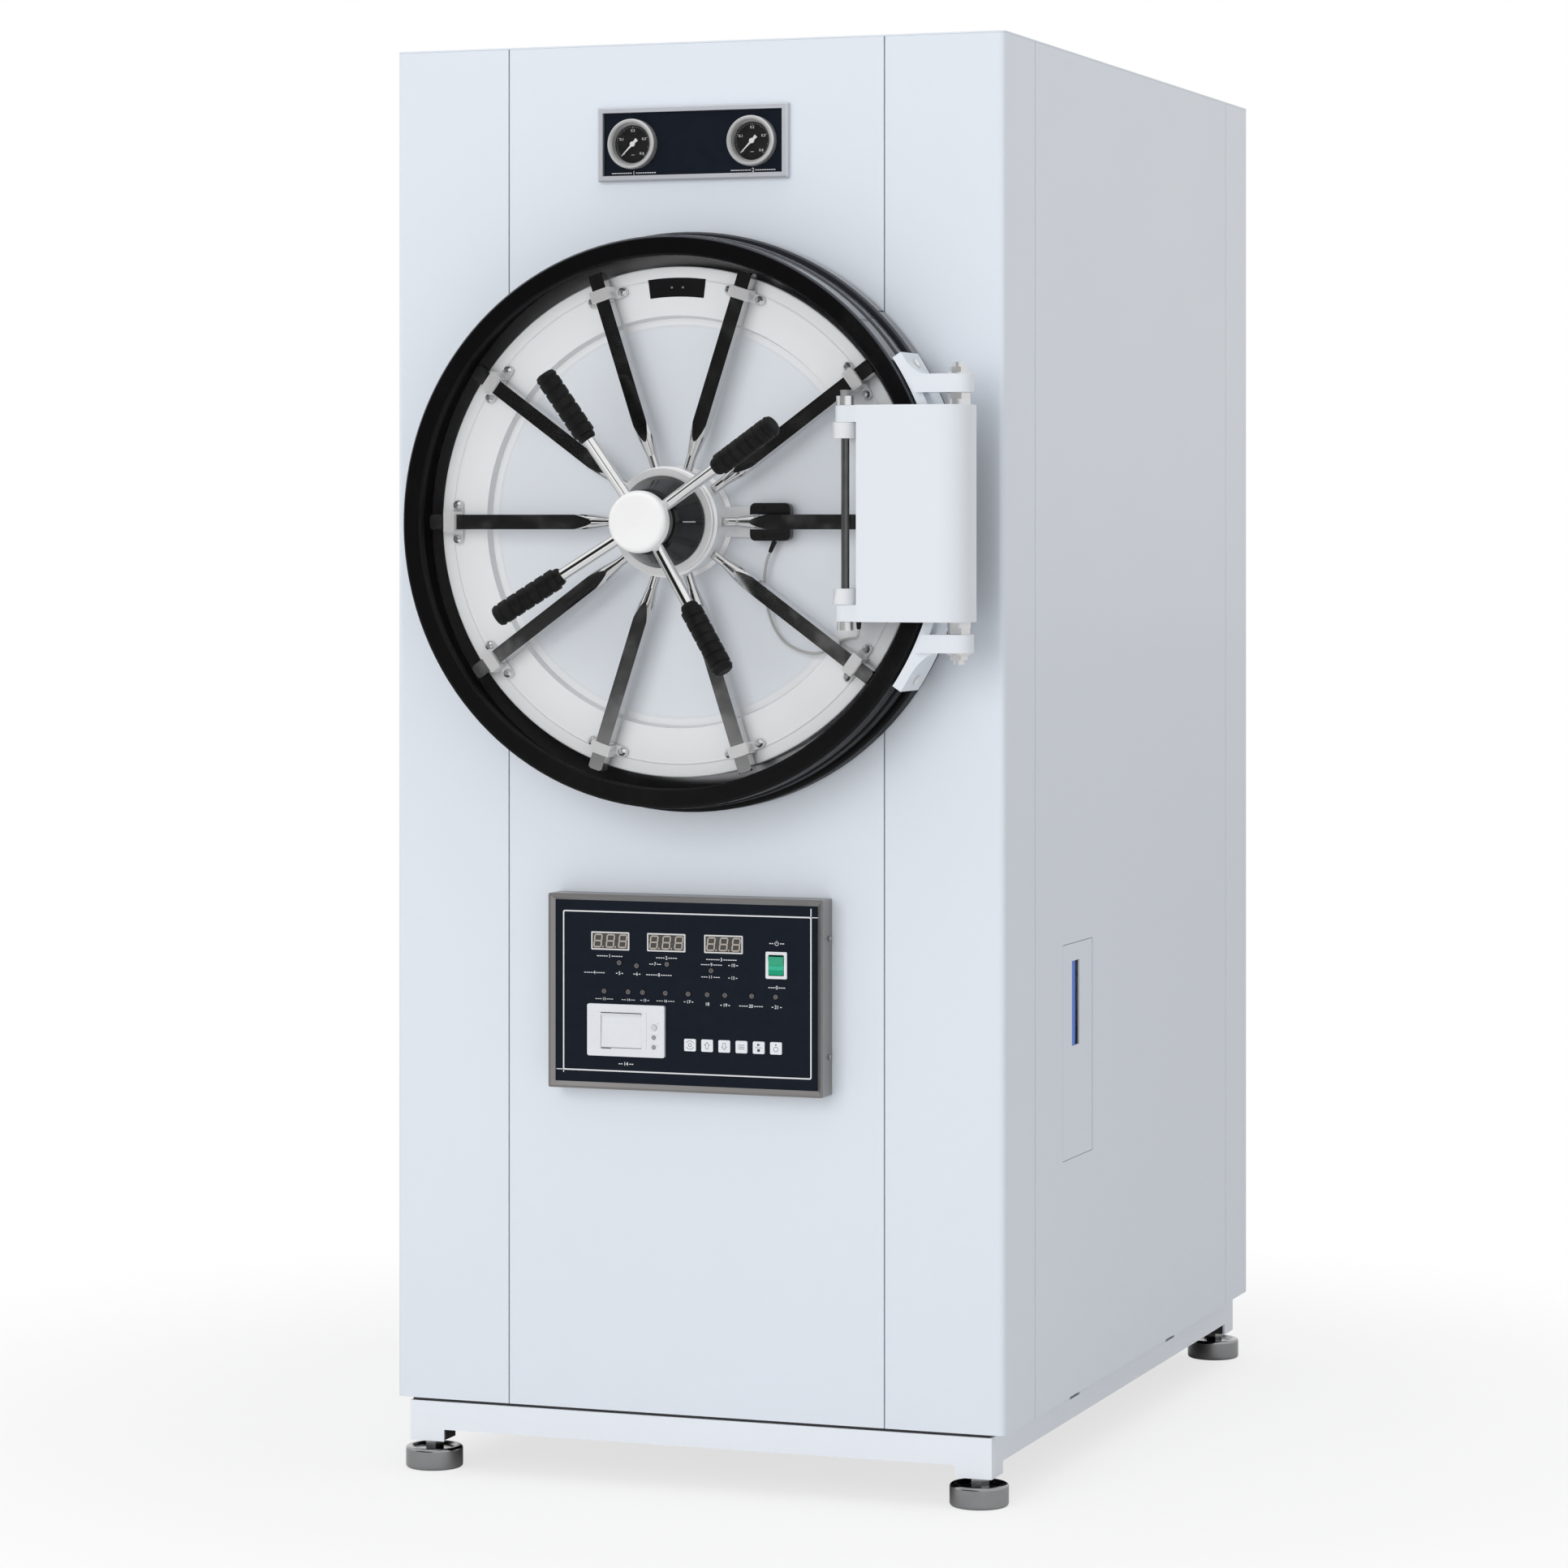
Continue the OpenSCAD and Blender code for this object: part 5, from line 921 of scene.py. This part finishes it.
class AUTOCLAVE_OT_sensor_lead(Piece):
    """Make the lock sensor's lead and the boots at its two ends"""

    bl_idname = "autoclave.sensor_lead"
    bl_label = "Sensor lead"

    def make(self, colours, dials, marks, studio):
        route = [Vector((x / 1000, FRONT_Y - f / 1000, AXIS_Z + h / 1000)) for x, h, f in LEAD_ROUTE]
        curve = bpy.data.curves.new("sensor_lead", "CURVE")
        curve.dimensions = "3D"
        curve.bevel_depth, curve.bevel_resolution, curve.use_fill_caps = LEAD_THICK / 2, 3, True
        curve.resolution_u = 4
        spline = curve.splines.new("BEZIER")
        spline.bezier_points.add(len(route) - 1)
        for knot, place in zip(spline.bezier_points, route):
            knot.co = place
            knot.handle_left_type = knot.handle_right_type = "AUTO"
        curve.materials.append(moulded_plastic("lead_sheath", (0.42, 0.42, 0.41), 0.5, 0.05))
        lead = linked("sensor_lead", curve)
        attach(lead, "door")
        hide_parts("sensor_cable")
        boots = bmesh.new()
        for start, towards, length in ((route[0], route[2], 15), (route[-1], route[-2], 9)):
            ridges = [(3.4 - 0.9 * k / length - (0.35 if k % 3 == 2 else 0), float(k))
                      for k in range(length)]
            boot = turned([(0, 0)] + ridges + [(2.1, length), (0, length)], 32)
            way = (towards - start).normalized()
            bmesh.ops.transform(boot, verts=boot.verts, matrix=Matrix.Translation(start)
                                @ way.to_track_quat("Z", "Y").to_matrix().to_4x4() @ Matrix.Scale(0.001, 4))
            held = as_mesh("boot", boot)
            boots.from_mesh(held)
            bpy.data.meshes.remove(held)
        boot = put("lead_boots", boots, rubber("boot_rubber", (0.012, 0.012, 0.013), 0.5),
                   "door", smooth=35)


class AUTOCLAVE_OT_finishes(Piece):
    """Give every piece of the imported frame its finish"""

    bl_idname = "autoclave.finishes"
    bl_label = "Finishes of the frame"

    def make(self, colours, dials, marks, studio):
        plan = {
            powder_coat("cabinet_coat", tuple(colours.cabinet), 0.40): (
                "front_panels", "corner_columns", "side_panels", "rear_panel", "top_cover", "service_flap"),
            powder_coat("skirt_coat", tuple(colours.skirt), 0.42): ("base_skirt",),
            powder_coat("frame_coat", (0.03, 0.03, 0.032), 0.55): ("base_frame", "upper_frame"),
            powder_coat("door_coat", tuple(colours.door), 0.36): ("hinge_arm", "hinge_brackets"),
            dished_coat("plate_coat", tuple(colours.door), 0.36): ("door_plate",),
            polished_metal("bolt_steel", 0.80, 0.10, 0.85): ("guide_bolts",),
            polished_metal("nut_steel", 0.80, 0.30, 0.8): ("hinge_pins",),
            polished_metal("housing_steel", 0.90, 0.36, 0.6): ("lock_housing",),
            polished_metal("guide_steel", 0.86, 0.34, 0.75): ("bar_guides",),
            polished_metal("foot_steel", 0.34, 0.12): ("feet",),
            polished_metal("bar_steel", 0.62, 0.06): tuple(f"locking_bar_{i}" for i in range(1, 11)),
            handwheel_metal("handwheel_steel", 0.80): ("handwheel_spider",),
            rod_metal("pivot_steel"): ("door_pivot_rod",),
            black_enamel("ring_enamel", tuple(colours.ring)): ("locking_ring",),
            moulded_plastic("black_moulding", (0.006, 0.006, 0.007), 0.24, 0.04): (
                "latch_plate", "lock_sensor"),
            moulded_plastic("cone_moulding", (0.004, 0.004, 0.0045), 0.14, 0.01, 0.35): (
                "handwheel_cone",),
            rubber("grip_rubber", (0.006, 0.006, 0.006), 0.42): ("handwheel_grips",),
            rubber("gasket_silicone", (0.20, 0.20, 0.21), 0.45): ("door_gasket",),
            brushed_metal("frame_anodised", (0.64, 0.66, 0.71), 0.34, "X", 0.35): ("gauge_frame",),
            brushed_metal("box_stainless", (0.34, 0.33, 0.325), 0.32, "X"): ("control_box",),
            polished_metal("gauge_steel", 0.68, 0.34, 0.6): ("gauges", "scroll_plate"),
            screened_plate("panel_ink", tuple(colours.panel)): ("gauge_plate", "control_plate"),
            clear_glass("gauge_glass"): ("gauge_glasses",),
            printed_white("needle_white", (0.85, 0.85, 0.83)): (
                "gauge_needle_left", "gauge_needle_right"),
            printer_moulding(): ("printer_body", "printer_door"),
            moulded_plastic("button_moulding", (0.62, 0.64, 0.66), 0.38, 0.05): ("printer_button",),
            moulded_plastic("key_moulding", (0.80, 0.83, 0.87), 0.40, 0.06): tuple(
                f"key_{i}" for i in range(1, 7)),
            rocker_green("rocker_moulding", tuple(colours.rocker)): ("power_rocker",),
            brushed_metal("vessel_steel", (0.58, 0.58, 0.60), 0.28, "Y"): (
                "chamber", "steam_generator"),
            wool_foil("wool_foil"): ("insulation",),
            brushed_metal("zinc_plate", (0.50, 0.52, 0.54), 0.42, "Z"): ("electric_box",),
            brushed_metal("pipe_steel", (0.60, 0.57, 0.50), 0.30, "Z"): ("pipework",),
        }
        for material, nodes in plan.items():
            for node in nodes:
                for place in frame["nodes"][node].material_slots:
                    place.material = material
        left = set(frame["nodes"]) - {node for nodes in plan.values() for node in nodes} - {"sensor_cable"}
        if left:
            raise RuntimeError(f"no finish for {sorted(left)}")


class AUTOCLAVE_OT_gauge_dials(Piece):
    """Make the dial faces, ticks and figures of the two pressure gauges"""

    bl_idname = "autoclave.gauge_dials"
    bl_label = "Gauge dials"

    def make(self, colours, dials, marks, studio):
        ink = printed_white("dial_white", (0.78, 0.79, 0.80))
        face = moulded_plastic("dial_black", (0.004, 0.004, 0.0045), 0.5, 0.05)
        radius, ring = dials.radius * 1000, dials.tick_ring * 1000
        for side, x in (("left", -GAUGE_X / 1000), ("right", GAUGE_X / 1000)):
            disc = turned([(1.5, 0), (radius, 0), (radius, 0.3), (radius - 0.2, 0.45), (1.5, 0.45),
                           (1.5, 0)], 64)
            bmesh.ops.transform(disc, matrix=front_plane(GAUGE_Z, DIAL_BACK, x), verts=disc.verts)
            put(f"dial_face_{side}", disc, face, "cabinet", smooth=30)
            scale = bmesh.new()
            for count, length, width in ((dials.ticks, 1.7, 0.2), (8, 2.4, 0.28), (4, 3.0, 0.42)):
                ticks = tick_ring("ticks", ink, count, dials.sweep, ring, length, width)
                scale.from_mesh(ticks)
                bpy.data.meshes.remove(ticks)
            bmesh.ops.transform(scale, matrix=front_plane(GAUGE_Z, DIAL_TICKS, x), verts=scale.verts)
            put(f"dial_ticks_{side}", scale, ink, "cabinet")
            figures = Marks(0.05)
            for i, text in enumerate(("0", "0.1", "0.2", "0.3", "0.4")):
                a = (math.pi + dials.sweep) / 2 - dials.sweep * i / 4
                reach = ring - 3.4 - dials.figure * 500 * (1.35 if 0 < i < 4 and i != 2 else 1)
                figures.figures(text, reach * math.cos(a), reach * math.sin(a), dials.figure * 1000 * 0.8)
            figures.bar(0, -13.4, 4.2, 0.5)
            figures.done(f"dial_figures_{side}", front_plane(GAUGE_Z, DIAL_FIGURES, x), ink, "cabinet",
                         "needle_white")
        labels = Marks(0.05)
        for text, x in (("1", -GAUGE_X), ("2", GAUGE_X)):
            labels.label(text, x, -35.6, 62, 5.0)
        labels.done("gauge_labels", front_plane(GAUGE_Z, GAUGE_PLATE_FACE), ink, "cabinet", "needle_white")


class AUTOCLAVE_OT_panel_print(Piece):
    """Print the border line and the plain marks of the control panel"""

    bl_idname = "autoclave.panel_print"
    bl_label = "Control panel print"

    def make(self, colours, dials, marks, studio):
        ink = printed_white("panel_white", (0.80, 0.82, 0.84))
        line = marks.line * 1000
        left, right, top, low = PANEL_LINE
        middle = ((left + right) / 2, (top + low) / 2)
        printed = Marks(0.05)
        printed.frame(rounded(right - left + line, top - low + line, 2.6, *middle),
                      rounded(right - left - line, top - low - line, 1.4, *middle))
        # The line runs on past two of its corners
        printed.bar(right, top + line / 2 + 5, line * 0.8, 10)
        printed.bar(right + line / 2 + 4.6, top, 9.2, line * 0.6)
        printed.bar(left - line / 2 - 4.4, low, 8.8, line * 0.6)
        printed.bar(left, low - line / 2 - 1.4, line * 0.6, 2.8)
        for n, (x, up, width, size) in enumerate(LABELS, 1):
            printed.label(str(n), x, up, width, size * marks.figure / LABEL_FIGURE)
        x, up = ROCKER_AT
        printed.sector(x, up + 26.4, 2.7, 2.05, 125, 415, 24)
        printed.bar(x, up + 28.2, 0.65, 3.4)
        printed.dashes(x, up + 26.4, 20, 4.6, 4.4)
        printed.label("0", x, up - 27.4, 24, 4.6)
        printed.label("14", PRINTER_AT[0] - 1.5, PRINTER_AT[1] - 41.6, 22, 4.6)
        printed.done("panel_print", front_plane(CONTROL_Z, PLATE_FACE + SKIN), ink, "cabinet",
                     "needle_white")


class AUTOCLAVE_OT_displays(Piece):
    """Make the three displays: frame, smoked window and unlit digits"""

    bl_idname = "autoclave.displays"
    bl_label = "Displays"

    def make(self, colours, dials, marks, studio):
        frames, windows, masks, digits = Marks(0.9), Marks(0.3), Marks(0.04), Marks(0.05)
        for x in DISPLAYS:
            frames.frame(rounded(50.4, 22.4, 1.2, x, DISPLAY_UP),
                         rounded(46.8, 18.8, 0.6, x, DISPLAY_UP))
            windows.outline(rounded(47.0, 19.0, 0.6, x, DISPLAY_UP))
            masks.outline(rounded(44.6, 18.2, 0.3, x, DISPLAY_UP))
            for u in (x - DIGIT_PITCH, x, x + DIGIT_PITCH):
                seven_segments(digits, u, DISPLAY_UP, 9.4, 15.2, line=1.7, lean=0.12)
                digits.outline(circle(1.0, u + 6.6, DISPLAY_UP - 7.4, 16))
        frames.done("display_frames", front_plane(CONTROL_Z, PLATE_FACE + SKIN),
                    moulded_plastic("display_frame_grey", (0.66, 0.66, 0.66), 0.4, 0.04), "cabinet",
                    "button_plastic")
        windows.done("display_windows", front_plane(CONTROL_Z, PLATE_FACE + SKIN),
                     display_window("smoked_window"), "cabinet", "black_plastic")
        masks.done("display_masks", front_plane(CONTROL_Z, PLATE_FACE + 0.34),
                   printed_white("mask_grey", (0.068, 0.064, 0.062)), "cabinet", "button_plastic")
        digits.done("display_digits", front_plane(CONTROL_Z, PLATE_FACE + 0.40),
                    printed_white("digit_grey", (0.50, 0.45, 0.39)), "cabinet", "button_plastic")


class AUTOCLAVE_OT_indicator_lamps(Piece):
    """Make the light rings and smoky domes of the thirteen indicator lamps"""

    bl_idname = "autoclave.indicator_lamps"
    bl_label = "Indicator lamps"

    def make(self, colours, dials, marks, studio):
        spots = [(x, up, 0) for x, up in LAMPS]
        place = front_plane(CONTROL_Z, PLATE_FACE + 1.35)
        metal = polished_metal("lamp_metal", 0.28, 0.35)
        smoky = lamp_lens("smoky_lens", (0.12, 0.095, 0.09))
        rings = lathe_rings("lamp_rings", metal, spots, marks.lamp * 1000, 0.42)
        rings.transform(place)
        put("lamp_rings", rings, metal, "cabinet", smooth=60)
        lenses = domes("lamp_lenses", smoky, spots, 2.4, 0.6)
        lenses.transform(place)
        put("lamp_lenses", lenses, smoky, "cabinet", smooth=60)


class AUTOCLAVE_OT_rocker_bezel(Piece):
    """Make the white bezel round the power rocker"""

    bl_idname = "autoclave.rocker_bezel"
    bl_label = "Rocker bezel"

    def make(self, colours, dials, marks, studio):
        bezel = Marks(2.4)
        bezel.frame(rounded(27.6, 33.1, 1.7, *ROCKER_AT), rounded(19.7, 25.2, 0.6, *ROCKER_AT))
        soften(bezel.done("rocker_bezel", front_plane(CONTROL_Z, PLATE_FACE + SKIN),
                          moulded_plastic("bezel_white", (0.80, 0.82, 0.84), 0.35, 0.04), "cabinet",
                          "printer_plastic"), 0.0005)


class AUTOCLAVE_OT_key_symbols(Piece):
    """Print a plain symbol on each of the six keys"""

    bl_idname = "autoclave.key_symbols"
    bl_label = "Key symbols"

    def make(self, colours, dials, marks, studio):
        ink = printed_white("key_ink", (0.02, 0.022, 0.026))
        for i in range(6):
            x, y = KEYS_AT[0] + i * KEY_PITCH, KEYS_AT[1]
            symbol = Marks(0.04)
            if i == 0:
                symbol.sector(x, y, 5.4, 4.9, 25, 155)
                symbol.sector(x, y, 5.4, 4.9, 205, 335)
                symbol.ring(x, y, 2.3, 1.8, 24)
            elif i in (1, 2):
                s = 1 if i == 1 else -1
                arrow = ((0, 4.6), (-3.9, 0.4), (-1.9, 0.4), (-1.9, -4.2), (1.9, -4.2), (1.9, 0.4),
                         (3.9, 0.4))
                inner = ((0, 3.75), (-2.7, 0.85), (-1.45, 0.85), (-1.45, -3.75), (1.45, -3.75),
                         (1.45, 0.85), (2.7, 0.85))
                symbol.frame(*([(x + s * u, y + s * v) for u, v in path] for path in (arrow, inner)))
            elif i == 3:
                for up in (-2.2, 0, 2.2):
                    symbol.bar(x, y + up, 8.2, 0.55)
            elif i == 4:
                symbol.bar(x, y, 9.4, 0.45)
                symbol.outline([(x - 1.6, y + 1.6), (x + 2.2, y + 3.4), (x - 1.6, y + 5.2)])
                symbol.bar(x, y - 3.3, 3.2, 3.2)
            else:
                symbol.outline(circle(0.95, x, y + 4.2, 20))
                symbol.ring(x, y - 1.2, 3.1, 2.6, 28)
            symbol.done(f"key_symbol_{i + 1}", front_plane(CONTROL_Z, KEY_FACE + 0.01), ink,
                        f"key_{i + 1}", "black_plastic")


class AUTOCLAVE_OT_printer_trim(Piece):
    """Make the printer's side strips, the dark sheet painted as its slit's shade, lamps and marks"""

    bl_idname = "autoclave.printer_trim"
    bl_label = "Printer trim"

    def make(self, colours, dials, marks, studio):
        face = front_plane(CONTROL_Z, PRINTER_FACE)
        strips = Marks(0.45)
        for x in PRINTER_STRIPS_X:
            strips.outline(rounded(6.4, 44.5, 0.5, x, PAPER_DOOR_AT[1]))
        soften(strips.done("printer_strips", face, printer_moulding(), "cabinet",
                           "printer_plastic"), 0.0002)
        # The paper slit is a thin dark sheet on the face: painted shade where the opening would be.
        slit = Marks(0.12)
        slit.outline(rounded(13.5, 0.8, 0.2, *PRINTER_SLIT_AT))
        slit.done("printer_slit", face, moulded_plastic("slit_dark", (0.01, 0.01, 0.011), 0.6, 0.1),
                  "cabinet", "black_plastic")
        spots = [(PRINTER_LAMPS_AT[0], PRINTER_LAMPS_AT[1] - PRINTER_LAMP_PITCH * i, 0) for i in (0, 1)]
        place = front_plane(CONTROL_Z, PRINTER_LAMP_FACE)
        rim = polished_metal("rim_metal", 0.34, 0.35)
        grey = lamp_lens("grey_lens", (0.34, 0.35, 0.37))
        for name, make, paint, sizes in (("printer_lamp_rims", lathe_rings, rim, (2.75, 0.4)),
                                         ("printer_lamp_lenses", domes, grey, (2.3, 0.85))):
            mesh = make(name, paint, spots, *sizes)
            mesh.transform(place)
            put(name, mesh, paint, "cabinet", smooth=60)
        printed = Marks(0.05)
        for up, width in ((-36.8, 2.6), (-51.6, 1.6), (-63.8, 1.6)):
            printed.bar(-34.2, up, width, 0.35)
        printed.done("printer_marks", face, printed_white("mark_grey", (0.25, 0.26, 0.28)), "cabinet",
                     "button_plastic")


class AUTOCLAVE_OT_door_marks(Piece):
    """Make the index line on the handwheel's cone and the latch plate's screws"""

    bl_idname = "autoclave.door_marks"
    bl_label = "Index line and latch screws"

    def make(self, colours, dials, marks, studio):
        line = bmesh.new()
        rows = []
        outwards = Vector(CONE_NORMAL).normalized()
        for radius, forward in INDEX_LINE:
            low = Vector((radius, 0, forward)) - outwards * 0.2
            high = Vector((radius, 0, forward)) + outwards * 0.16
            rows.append([line.verts.new((p.x, side, p.z)) for p, side in (
                (low, -0.8), (high, -0.8), (high, 0.8), (low, 0.8))])
        line.faces.new(rows[0])
        line.faces.new(list(reversed(rows[1])))
        for i in range(4):
            j = (i + 1) % 4
            line.faces.new((rows[0][j], rows[0][i], rows[1][i], rows[1][j]))
        bmesh.ops.recalc_face_normals(line, faces=line.faces)
        bmesh.ops.transform(line, matrix=front_plane(AXIS_Z, 0), verts=line.verts)
        put("index_line", line, printed_white("index_grey", (0.45, 0.46, 0.47)), "handwheel")
        steel = polished_metal("latch_steel", 0.45, 0.3)
        heads = domes("latch_screws", steel, LATCH_SCREWS, 1.5, 0.5)
        heads.transform(front_plane(AXIS_Z, LATCH_FACE))
        put("latch_screws", heads, steel, "door", smooth=60)


class AUTOCLAVE_OT_flap_strip(Piece):
    """Line the front edge of the flap's finger slot with its coloured strip"""

    bl_idname = "autoclave.flap_strip"
    bl_label = "Flap strip"

    def make(self, colours, dials, marks, studio):
        strip = bmesh.new()
        bmesh.ops.create_cube(strip, size=1, matrix=Matrix.Translation(FLAP_STRIP_AT)
                              @ Matrix.Diagonal((*FLAP_STRIP_SIZE, 1)))
        bmesh.ops.bevel(strip, geom=list(strip.edges), offset=0.0002, segments=2, affect="EDGES")
        put("flap_strip", strip, moulded_plastic("strip_blue", tuple(colours.edge_strip), 0.35, 0.05),
            "service_flap")


class AUTOCLAVE_OT_rear_screws(Piece):
    """Put the screws along the edges of the rear panel"""

    bl_idname = "autoclave.rear_screws"
    bl_label = "Rear screws"

    def make(self, colours, dials, marks, studio):
        spots = [(x, 130 + 200 * k, 0) for x in (-296, 296) for k in range(9)]
        spots += [(x, up, 0) for x in (-150, 0, 150) for up in (104, 1768)]
        zinc = polished_metal("screw_zinc", 0.6, 0.28)
        heads = cross_heads("rear_screws", zinc, spots, 4.2, 1.9)
        heads.transform(Matrix((
            (0.001, 0, 0, 0), (0, 0, 0.001, REAR_Y + 0.0001), (0, 0.001, 0, 0), (0, 0, 0, 1))))
        heads.flip_normals()
        put("rear_screws", heads, zinc, "cabinet", smooth=35)


class AUTOCLAVE_OT_stage(Piece):
    """Lay the pale floor and hang the soft lights"""

    bl_idname = "autoclave.stage"
    bl_label = "Stage"

    def make(self, colours, dials, marks, studio):
        floor = bmesh.new()
        bmesh.ops.create_circle(floor, cap_ends=True, segments=64, radius=FLOOR_R)
        mesh = as_mesh("floor", floor)
        pale = Finish("floor_paper", specular_ior_level=0.1)
        pale.set("Base Color", pale.blend((0.93, 0.93, 0.93), (0.96, 0.96, 0.96), pale.noise(3, 3)))
        pale.set("Roughness", 0.8)
        reach = pale.maths("SQRT", pale.part("X") * pale.part("X") + pale.part("Y") * pale.part("Y"))
        path = pale.add("ShaderNodeLightPath", out="Is Camera Ray")
        glow = pale.add("ShaderNodeEmission", None, {"Color": (1, 1, 1, 1), "Strength": 1.0})
        mixed = pale.add("ShaderNodeMixShader", None, {
            0: path * (0.72 + pale.spread(reach, *SHADOW_FADE) * 0.28),
            1: Signal(pale, pale.shader.outputs[0]), 2: glow})
        # The far floor is dark only in polished pieces, as the room behind the camera is
        gloss = pale.add("ShaderNodeLightPath", out="Is Glossy Ray")
        ahead = pale.part("Y") * BEHIND_Y + pale.part("X") * BEHIND_X
        night = pale.add("ShaderNodeEmission", None, {"Color": (0.03, 0.03, 0.03, 1), "Strength": 1.0})
        final = pale.add("ShaderNodeMixShader", None, {
            0: gloss * pale.spread(ahead, 10.0, 30.0), 1: mixed, 2: night})
        pale.tree.links.new(final.socket, pale.output.inputs["Surface"])
        mesh.materials.append(pale.material)
        linked("floor", mesh)
        for name, (place, aim, side, share) in LIGHTS.items():
            lamp = bpy.data.lights.new(name, "AREA")
            lamp.shape, lamp.size, lamp.energy = "SQUARE", side, studio.key_light * share
            holder = linked(name, lamp)
            holder.visible_glossy = False
            holder.location = place
            holder.rotation_euler = (Vector(aim) - Vector(place)).to_track_quat("-Z", "Y").to_euler()
        world = bpy.data.worlds.new("studio")
        bpy.context.scene.world = world
        world.use_nodes = True
        sky = NodeMaker(world.node_tree)
        sky.tree.nodes.clear()
        ways = sky.add("ShaderNodeTexCoord", out="Generated")
        across, into = (sky.add("ShaderNodeSeparateXYZ", None, {"Vector": ways}, out=i) for i in (0, 1))
        # Dark room behind the camera, seen only in polished pieces
        dark = sky.spread(across * BEHIND_X + into * BEHIND_Y, 0.70, 0.90)
        level = 1.0 - dark * 0.985
        path = sky.tree.nodes.new("ShaderNodeLightPath")
        camera, glossy, through = (Signal(sky, path.outputs[n]) for n in (
            "Is Camera Ray", "Is Glossy Ray", "Is Transmission Ray"))
        plain = sky.maths("MAXIMUM", camera, through)
        strength = plain + (1 - plain) * (glossy * level + (1 - glossy) * studio.sky)
        lit = sky.add("ShaderNodeBackground", None, {"Color": (1, 1, 1, 1), "Strength": strength})
        end = sky.tree.nodes.new("ShaderNodeOutputWorld")
        sky.tree.links.new(lit.socket, end.inputs["Surface"])
        bpy.context.scene.view_settings.view_transform = "Standard"


PIECES = (
    AUTOCLAVE_OT_camera, AUTOCLAVE_OT_sensor_lead, AUTOCLAVE_OT_finishes, AUTOCLAVE_OT_gauge_dials,
    AUTOCLAVE_OT_panel_print, AUTOCLAVE_OT_displays, AUTOCLAVE_OT_indicator_lamps,
    AUTOCLAVE_OT_rocker_bezel, AUTOCLAVE_OT_key_symbols, AUTOCLAVE_OT_printer_trim,
    AUTOCLAVE_OT_door_marks, AUTOCLAVE_OT_flap_strip, AUTOCLAVE_OT_rear_screws, AUTOCLAVE_OT_stage,
)
GROUPS = {
    "autoclave_colours": AutoclaveColours, "autoclave_dials": AutoclaveDials,
    "autoclave_print": AutoclavePrint, "autoclave_studio": AutoclaveStudio,
}


class AUTOCLAVE_PT_pieces(bpy.types.Panel):
    """Lists the pieces, sizes and colours in the sidebar."""

    bl_label = "Autoclave"
    bl_idname = "AUTOCLAVE_PT_pieces"
    bl_space_type = "VIEW_3D"
    bl_region_type = "UI"
    bl_category = "Autoclave"

    def draw(self, context):
        for piece in PIECES:
            self.layout.operator(piece.bl_idname)
        for name, group in GROUPS.items():
            box = self.layout.box()
            for label in group.__annotations__:
                box.prop(getattr(context.scene, name), label)


def register():
    for cls in (*GROUPS.values(), *PIECES, AUTOCLAVE_PT_pieces):
        bpy.utils.register_class(cls)
    for name, group in GROUPS.items():
        setattr(bpy.types.Scene, name, PointerProperty(type=group))


def unregister():
    for name in GROUPS:
        delattr(bpy.types.Scene, name)
    for cls in reversed((*GROUPS.values(), *PIECES, AUTOCLAVE_PT_pieces)):
        bpy.utils.unregister_class(cls)


def main():
    register()
    for piece in PIECES:
        family, name = piece.bl_idname.split(".")
        getattr(getattr(bpy.ops, family), name)()


if __name__ == "__main__":
    main()
